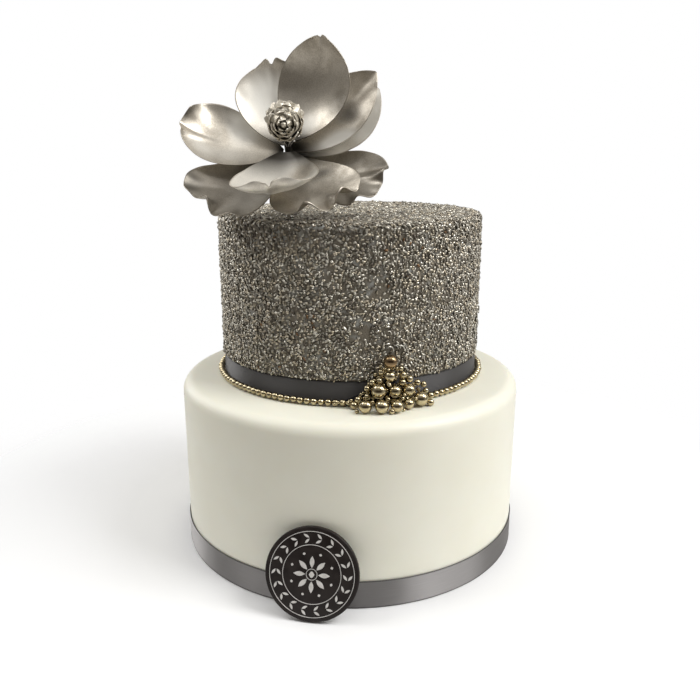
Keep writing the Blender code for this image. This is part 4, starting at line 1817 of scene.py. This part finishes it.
@dataclass
class BractCone:
    """The flower's middle: a ball of overlapping bracts with a bud in the middle of its face.

    ball_depth and bud_depth are how far the ball's surface and the bud's middle lie inside
    the bracts' radius, and neck is the profile, in millimetres, of the short neck that
    carries the ball.
    """

    axes: FlowerAxes
    radius: float = 10.9 * MM
    reach: float = 18.2 * MM
    face_elevation: float = -12.0
    bract_thickness: float = 0.50 * MM
    bud_radius: float = 1.5 * MM
    rings: tuple[BractRing, ...] = tuple(BractRing(*sizes) for sizes in (
        (128.0, 8, 4.8, 0.2, 30.0, 0.0), (104.0, 10, 5.0, 0.4, 32.0, 0.5), (82.0, 10, 5.2, 0.5, 34.0, 0.0),
        (61.0, 9, 5.4, 0.6, 36.0, 0.5), (42.0, 8, 5.2, 0.7, 36.0, 0.1), (27.0, 6, 4.6, 0.8, 32.0, 0.3),
        (14.0, 5, 3.2, 0.8, 26.0, 0.0), (101.0, 6, 3.9, 1.2, -36.0, 0.0, 0.7, 200.0),
        (77.0, 5, 3.9, 1.2, -34.0, 0.5, 0.6, 200.0), (55.0, 4, 3.5, 1.0, -30.0, 0.2, 0.6, 215.0)))
    grid: int = 12
    ball_depth: float = 3.4 * MM
    bud_depth: float = 1.6 * MM
    neck: tuple[Pair, ...] = ((0.0, -13.4), (1.9, -13.4), (2.0, 4.0), (3.6, 9.5), (0.0, 12.0))
    marks: tuple[str, ...] = ("rim", "root")

    def _add_bract(self, work: Work, ring: BractRing, turn: float, seed: float) -> None:
        """Add one bract.

        Args:
            work: the bmesh of the ball.
            ring: the ring that it belongs to.
            turn: its direction round the face, in radians.
            seed: which unevenness it gets.
        """
        made = bmesh.ops.create_grid(work, x_segments=self.grid, y_segments=self.grid, size=1.0)["verts"]
        tip = math.radians(ring.tip + 11.0 * noise.noise(Vector((seed, 0.5, 0.0))))
        lift = ring.lift * MM * (1.0 + 0.9 * noise.noise(Vector((0.3, seed, 0.0))))
        rim, root = (work.verts.layers.float[name] for name in self.marks)
        for corner in made:
            along, across = 0.5 + 0.5 * corner.co.x, corner.co.y
            # Painted highlight along the bract's edges and tip; painted shade towards its root.
            corner[rim] = min(1.0, max(0.0, (abs(across) - 0.70) / 0.30, (along - 0.80) / 0.20))
            corner[root] = 0.8 * max(0.0, 1.0 - along / 0.42)
            outline = (0.62 + 0.38 * along) * max(0.0, 1.0 - along ** 4) ** ring.point
            polar = tip + math.radians(ring.span) * (1.0 - along)
            shell = self.radius - 2.6 * MM + 1.6 * MM * along ** 0.8 + lift * along ** 3
            shell -= 1.3 * MM * (across * outline) ** 2
            shell += 0.35 * MM * noise.noise(Vector((along * 1.7 + seed, across * 1.7, seed)))
            round_face = max(self.radius * math.sin(polar), 3.0 * MM)
            sweep = turn + across * outline * ring.half_width * MM / round_face
            aside = math.sin(polar)
            corner.co = shell * Vector((aside * math.cos(sweep), aside * math.sin(sweep), math.cos(polar)))
        faces = faces_of(made)
        bmesh.ops.recalc_face_normals(work, faces=faces)
        if sum(face.normal.dot(face.calc_center_median()) for face in faces) < 0.0:
            bmesh.ops.reverse_faces(work, faces=faces)
        bmesh.ops.solidify(work, geom=faces, thickness=self.bract_thickness)

    def build(self, material: Material) -> None:
        """Model the ball, its neck and its bud and dress them.

        Args:
            material: the finish.
        """
        work = bmesh.new()
        for name in self.marks:
            work.verts.layers.float.new(name)
        reach = self.radius - self.ball_depth
        ball = bmesh.ops.create_icosphere(work, subdivisions=4, radius=reach)["verts"]
        # Painted shade on the ball that shows between the bracts.
        for corner in ball:
            corner[work.verts.layers.float["root"]] = 0.6
        seed = 0.0
        for ring in self.rings:
            spread = math.radians(360.0 - ring.gap)
            for number in range(ring.count):
                seed += 1.3
                wobble = 0.5 * noise.noise(Vector((seed, 7.0, 2.0)))
                share = (number + 0.5 + ring.offset + wobble) / ring.count
                self._add_bract(work, ring, math.radians(90.0) + spread * (share - 0.5), seed)
        bud = bmesh.ops.create_icosphere(work, subdivisions=3, radius=self.bud_radius)["verts"]
        bmesh.ops.translate(work, verts=bud, vec=(0.0, 0.0, self.radius - self.bud_depth))
        facing = FlowerAxes(elevation=self.face_elevation)
        bmesh.ops.transform(work, matrix=facing.frame(), verts=work.verts[:])
        bmesh.ops.translate(work, verts=work.verts[:], vec=self.axes.heart + self.axes.axis * self.reach)
        self._add_neck(work)
        piece = finish_piece("bract_cone", work, material, 55.0)
        settle(piece, Slot.AGED_LUSTRE, "flower_core")

    def _add_neck(self, work: Work) -> None:
        """Add the short neck between the ball and the stem.

        Args:
            work: the bmesh of the ball, already in its place.
        """
        neck = lathe([(radius * MM, height * MM) for radius, height in self.neck], 20)
        turned = self.axes.frame()
        turned.translation = self.axes.heart
        bmesh.ops.transform(neck, matrix=turned, verts=neck.verts[:])
        before = len(work.verts)
        merge_into(work, neck)
        work.verts.ensure_lookup_table()
        # Painted shade over the whole neck.
        for corner in work.verts[before:]:
            corner[work.verts.layers.float["root"]] = 1.0


@dataclass
class StemAndStamens:
    """The taped stem behind the flower, and the thin stamens under its middle."""

    axes: FlowerAxes
    stem_radius: float = 2.15 * MM
    tail: float = 14.0 * MM
    shoulder: float = 6.0 * MM
    stem_points: int = 40
    tape_ridge: float = 0.06
    stamen_radius: float = 0.28 * MM
    stamen_count: int = 11
    stamen_steps: int = 7
    stamen_tip: float = 0.8

    def _curve(self, name: str, depth: float, material: Material) -> bpy.types.Curve:
        """Start a round-bevelled curve.

        Args:
            name: its name.
            depth: its radius.
            material: its finish.

        Returns:
            The curve, still empty.
        """
        curve = bpy.data.curves.new(name, "CURVE")
        curve.dimensions = "3D"
        curve.bevel_depth = depth
        curve.bevel_resolution = 3
        curve.use_fill_caps = True
        curve.materials.append(material)
        return curve

    def build(self, material: Material) -> None:
        """Bend the stem down into the upper tier and the stamens out from the heart, and dress them.

        Args:
            material: the finish of both.
        """
        low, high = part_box("flower_stem")
        start = self.axes.heart - self.axes.axis * self.tail
        foot = Vector((start.x, high.y - self.stem_radius, low.z))
        shoulder = start - self.axes.axis * self.shoulder
        knee = Vector((foot.x, foot.y, shoulder.z))
        curve = self._curve("taped_stem", self.stem_radius, material)
        spline = curve.splines.new("POLY")
        spline.points.add(self.stem_points - 1)
        for number, place in enumerate(spline.points):
            share = number / (self.stem_points - 1)
            point = start * (1.0 - share) ** 3 + shoulder * 3.0 * share * (1.0 - share) ** 2
            point += knee * 3.0 * share ** 2 * (1.0 - share) + foot * share ** 3
            place.co = (*point, 1.0)
            place.radius = 1.0 - self.tape_ridge * (number % 4 != 0)
        settle(new_object(curve.name, curve), Slot.STEM, "flower_stem")
        curve = self._curve("stamens", self.stamen_radius, material)
        for number in range(self.stamen_count):
            turn = math.tau * (number + 0.3 * math.sin(5.0 * number)) / self.stamen_count
            outward = self.axes.outward(turn)
            spline = curve.splines.new("POLY")
            spline.points.add(self.stamen_steps)
            for step, place in enumerate(spline.points):
                share = step / self.stamen_steps
                arm = (2.2 + 3.6 * share + 1.2 * share * share) * MM
                reach = (0.5 + 8.5 * share) * MM
                place.co = (*(self.axes.heart + self.axes.axis * reach + outward * arm), 1.0)
                place.radius = 1.0 + self.stamen_tip * (step == self.stamen_steps)
        settle(new_object(curve.name, curve), Slot.STEM)


@dataclass
class Magnolia:
    """The whole sugar flower."""

    axes: FlowerAxes = field(default_factory=FlowerAxes)

    def build(self) -> None:
        """Model and dress every part of the flower."""
        petal = LustreFinish("silver lustre", bright=(0.71, 0.658, 0.572), dull=(0.43, 0.386, 0.318),
                             rim=(0.46, 0.415, 0.345), smooth=0.33, rough=0.46).material()
        # Its light rim tone is a painted highlight on the bracts' edges.
        aged = LustreFinish("aged silver lustre", bright=(0.66, 0.61, 0.51), dull=(0.46, 0.42, 0.34),
                            rim=(0.70, 0.65, 0.56), smooth=0.34, rough=0.48, metallic=0.8).material()
        stem = LustreFinish("silver stem tape", bright=(0.55, 0.52, 0.48), dull=(0.34, 0.32, 0.29),
                            rim=(0.6, 0.6, 0.6), smooth=0.40, rough=0.55, metallic=0.7).material()
        for form in PETAL_FORMS:
            Petal(form, self.axes).build(petal)
        BractCone(self.axes).build(aged)
        StemAndStamens(self.axes).build(stem)


# ----- Plaque -----

@dataclass
class Plaque:
    """The round chocolate plaque with a wreath piped on its face.

    ring_radii are shares of the plaque's radius. leaf, petal, dot and eye are lengths and
    widths; the dots lie outside the petals and the eye in the middle.
    """

    radius: float = 25.0 * MM
    thickness: float = 3.0 * MM
    edge_round: float = 0.7 * MM
    lean: float = 14.0
    line: float = 0.34 * MM
    relief: float = 0.16 * MM
    sunk: float = 0.05 * MM
    steps: int = 128
    ring_radii: Pair = (0.90, 0.62)
    leaf_pairs: int = 18
    leaf_parting: float = 1.35 * MM
    leaf_lean: float = 38.0
    leaf: Pair = (3.5 * MM, 1.3 * MM)
    rose_petals: int = 8
    petal_reach: float = 6.6 * MM
    petal: Pair = (6.2 * MM, 2.5 * MM)
    dot_reach: float = 11.4 * MM
    dot: Pair = (1.4 * MM, 1.5 * MM)
    eye: Pair = (3.0 * MM, 3.4 * MM)
    eye_ring: float = 2.9 * MM

    def _stand(self) -> Matrix:
        """Where the plaque stands: its face turned outwards and leaned back.

        Returns:
            The matrix that carries the flat plaque there.
        """
        middle = node_middle("plaque")
        spin = Matrix.Rotation(math.atan2(middle.x, -middle.y), 4, "Z")
        tilt = Matrix.Rotation(math.radians(90.0 - self.lean), 4, "X")
        return Matrix.Translation(middle) @ spin @ tilt

    def _disc(self) -> Work:
        """The disc, flat on its back, with rounded edges.

        Returns:
            The disc.
        """
        half = self.thickness / 2
        flat = self.radius - self.edge_round
        profile = [(0.0, -half), (flat, -half)]
        for step in range(1, 5):
            turn = math.radians(90.0) * step / 4
            profile.append((flat + self.edge_round * math.sin(turn),
                            -half + self.edge_round - self.edge_round * math.cos(turn)))
        profile += rounded_edge(self.radius, half, self.edge_round, 4)
        return lathe(profile + [(0.0, half)], self.steps)

    def _ring(self, work: Work, radius: float) -> None:
        """Add a thin raised ring, narrower on top.

        Args:
            work: the ornament.
            radius: the middle of its line.
        """
        base = self.thickness / 2 - self.sunk
        top = self.thickness / 2 + self.relief
        section = [(radius - self.line / 2, base), (radius + self.line / 2, base),
                   (radius + self.line * 0.3, top), (radius - self.line * 0.3, top)]
        merge_into(work, lathe(section, self.steps, closed=True))

    def _drop(self, work: Work, reach: float, way: float, size: Pair,
              turn: float) -> None:
        """Add a raised leaf, petal or dot.

        Args:
            work: the ornament.
            reach: how far its middle lies from the plaque's.
            way: the direction of its middle, in radians.
            size: its length and width.
            turn: the direction of its length, in radians.
        """
        made = bmesh.ops.create_circle(work, cap_ends=True, segments=16, radius=0.5)["verts"]
        for corner in made:
            taper = 1.0 - 0.8 * abs(2.0 * corner.co.x) ** 2.2
            corner.co = Vector((corner.co.x * size[0], corner.co.y * size[1] * taper, 0.0))
        bmesh.ops.rotate(work, verts=made, cent=(0, 0, 0), matrix=Matrix.Rotation(turn, 3, "Z"))
        middle = Vector((reach * math.cos(way), reach * math.sin(way), 0.0))
        lifted = middle + Vector((0.0, 0.0, self.thickness / 2 - self.sunk))
        bmesh.ops.translate(work, verts=made, vec=lifted)
        face = made[0].link_faces[0]
        raised = bmesh.ops.extrude_face_region(work, geom=[face], use_keep_orig=True)["geom"]
        top = [item for item in raised if isinstance(item, bmesh.types.BMVert)]
        bmesh.ops.translate(work, verts=top, vec=(0.0, 0.0, self.sunk + self.relief))

    def _ornament(self) -> Work:
        """Two rings, a wreath of leaf pairs between them, and a rosette in the middle.

        Returns:
            The ornament, on the flat disc.
        """
        work = bmesh.new()
        for share in self.ring_radii:
            self._ring(work, self.radius * share)
        between = self.radius * sum(self.ring_radii) / 2
        for number in range(self.leaf_pairs):
            turn = math.tau * number / self.leaf_pairs
            for way in (-1.0, 1.0):
                heading = turn + math.radians(90.0) - way * math.radians(self.leaf_lean)
                self._drop(work, between + way * self.leaf_parting, turn, self.leaf, heading)
        for number in range(self.rose_petals):
            turn = math.tau * number / self.rose_petals
            self._drop(work, self.petal_reach, turn, self.petal, turn)
            turn += math.pi / self.rose_petals
            self._drop(work, self.dot_reach, turn, self.dot, turn)
        self._drop(work, 0.0, 0.0, self.eye, 0.0)
        self._ring(work, self.eye_ring)
        bmesh.ops.recalc_face_normals(work, faces=work.faces[:])
        return work

    def build(self) -> None:
        """Model the disc and its ornament and dress them."""
        disc, ornament = self._disc(), self._ornament()
        for work in (disc, ornament):
            bmesh.ops.transform(work, matrix=self._stand(), verts=work.verts[:])
        settle(finish_piece("plaque_disc", disc, DARK_CHOCOLATE.material()), Slot.CHOCOLATE, "plaque")
        settle(finish_piece("plaque_wreath", ornament, WHITE_ICING.material()), Slot.FONDANT)


# ----- Studio -----

@dataclass(frozen=True)
class Softbox:
    """A soft rectangular light: place, size, power in watts and the point it faces."""

    name: str
    place: Triple
    size: Pair
    power: float
    target: Triple = (0.0, 0.0, 0.12)


@dataclass
class Studio:
    """A pale table, soft light all round and the camera.

    The glows are the colours of the light from each side. camera_dip is how many degrees
    the camera looks down.
    """

    floor_reach: float = 0.38
    camera_place: Triple = (0.0, -0.4568, 0.2406)
    camera_dip: float = 15.35
    camera_lens: float = 38.86
    sensor: float = 36.0
    backdrop: Colour = (1.0, 1.0, 1.0)
    front_glow: Colour = (0.055, 0.046, 0.037)
    left_glow: Colour = (0.220, 0.210, 0.197)
    right_glow: Colour = (0.360, 0.350, 0.335)
    top_glow: Colour = (0.500, 0.492, 0.478)
    below_glow: Colour = (0.620, 0.600, 0.570)
    softboxes: tuple[Softbox, ...] = (
        Softbox("front top box", (0.00, -0.38, 1.15), (0.60, 0.35), 1.3),
        Softbox("right key", (0.75, -0.37, 1.02), (0.50, 0.50), 8.4),
        Softbox("left key", (-0.68, -0.02, 0.98), (0.48, 0.42), 2.8),
        Softbox("right box", (0.93, -0.10, 0.62), (0.45, 0.50), 2.7),
        Softbox("back left box", (-0.78, 0.55, 0.45), (0.55, 0.60), 3.2),
    )

    def _floor(self) -> None:
        """Lay the table."""
        work = bmesh.new()
        bmesh.ops.create_circle(work, cap_ends=True, segments=64, radius=self.floor_reach)
        floor = finish_piece("table", work, FloorFinish().material())

    def _world(self) -> None:
        """Light from all round, dim from the front, with a plain white backdrop."""
        world = bpy.data.worlds.new("studio")
        bpy.context.scene.world = world
        world.use_nodes = True
        wires = Wiring(world.node_tree)
        world.node_tree.nodes.clear()
        way = wires.add("ShaderNodeTexCoord").outputs["Generated"]
        parts = wires.add("ShaderNodeSeparateXYZ", {0: way}).outputs
        glow = wires.mix(wires.spread(parts[0], -0.5, 0.5), self.left_glow, self.right_glow)
        for part, start, full, colour in (
                (1, -0.35, -0.85, self.front_glow), (2, -0.06, -0.26, self.below_glow),
                (2, 0.35, 0.9, self.top_glow)):
            glow = wires.mix(wires.spread(parts[part], start, full), glow, colour)
        lighting = wires.add("ShaderNodeBackground", {"Color": glow})
        seen = wires.add("ShaderNodeBackground", {"Color": self.backdrop})
        ray = wires.add("ShaderNodeLightPath").outputs["Is Camera Ray"]
        both = wires.add("ShaderNodeMixShader", {0: ray, 1: lighting.outputs[0], 2: seen.outputs[0]})
        wires.add("ShaderNodeOutputWorld", {"Surface": both.outputs[0]})

    def _light(self, box: Softbox) -> None:
        """Hang one softbox, unseen by the camera.

        Args:
            box: the softbox.
        """
        lamp = bpy.data.lights.new(box.name, "AREA")
        lamp.shape = "RECTANGLE"
        lamp.size, lamp.size_y = box.size
        lamp.energy = box.power
        holder = new_object(box.name, lamp)
        holder.location = box.place
        away = Vector(box.place) - Vector(box.target)
        holder.rotation_euler = away.to_track_quat("Z", "Y").to_euler()
        holder.visible_camera = False

    def _camera(self) -> None:
        """Set up the camera in front of the cake, looking slightly down."""
        lens = bpy.data.cameras.new("camera")
        lens.sensor_width = self.sensor
        lens.lens = self.camera_lens
        lens.clip_start = 0.01
        lens.clip_end = 50.0
        camera = new_object("camera", lens)
        camera.location = self.camera_place
        camera.rotation_euler = (math.radians(90.0 - self.camera_dip), 0.0, 0.0)
        bpy.context.scene.camera = camera

    def build(self) -> None:
        """Set up the whole studio."""
        bpy.context.scene.view_settings.view_transform = "Standard"
        self._floor()
        self._world()
        for box in self.softboxes:
            self._light(box)
        self._camera()
        log.info("studio: %d softboxes", len(self.softboxes))


def main() -> None:
    """Build the cake's looks, piece by piece."""
    logging.basicConfig(level=logging.INFO, format="%(name)s: %(message)s")
    Studio().build()
    LowerTier().build()
    Ribbon("lower_ribbon", Slot.GREY_SATIN, (0.35, 0.337, 0.332), 0.96, 0.56).build()
    tier = UpperTier()
    tier.build()
    SprinkleCoat(tier.coat()).build()
    Ribbon("upper_ribbon", Slot.SLATE_SATIN, (0.094, 0.091, 0.094), 0.33, 0.52).build()
    # Painted shadow and reflection of the pearl pile on the upper ribbon.
    PileShadowSheet().build()
    pearl = PearlFinish("champagne pearl", (0.58, 0.50, 0.33), (0.43, 0.36, 0.225)).material()
    PearlBorder().build(pearl)
    PearlPile().build(pearl)
    Magnolia().build()
    Plaque().build()


if __name__ == "__main__":
    main()
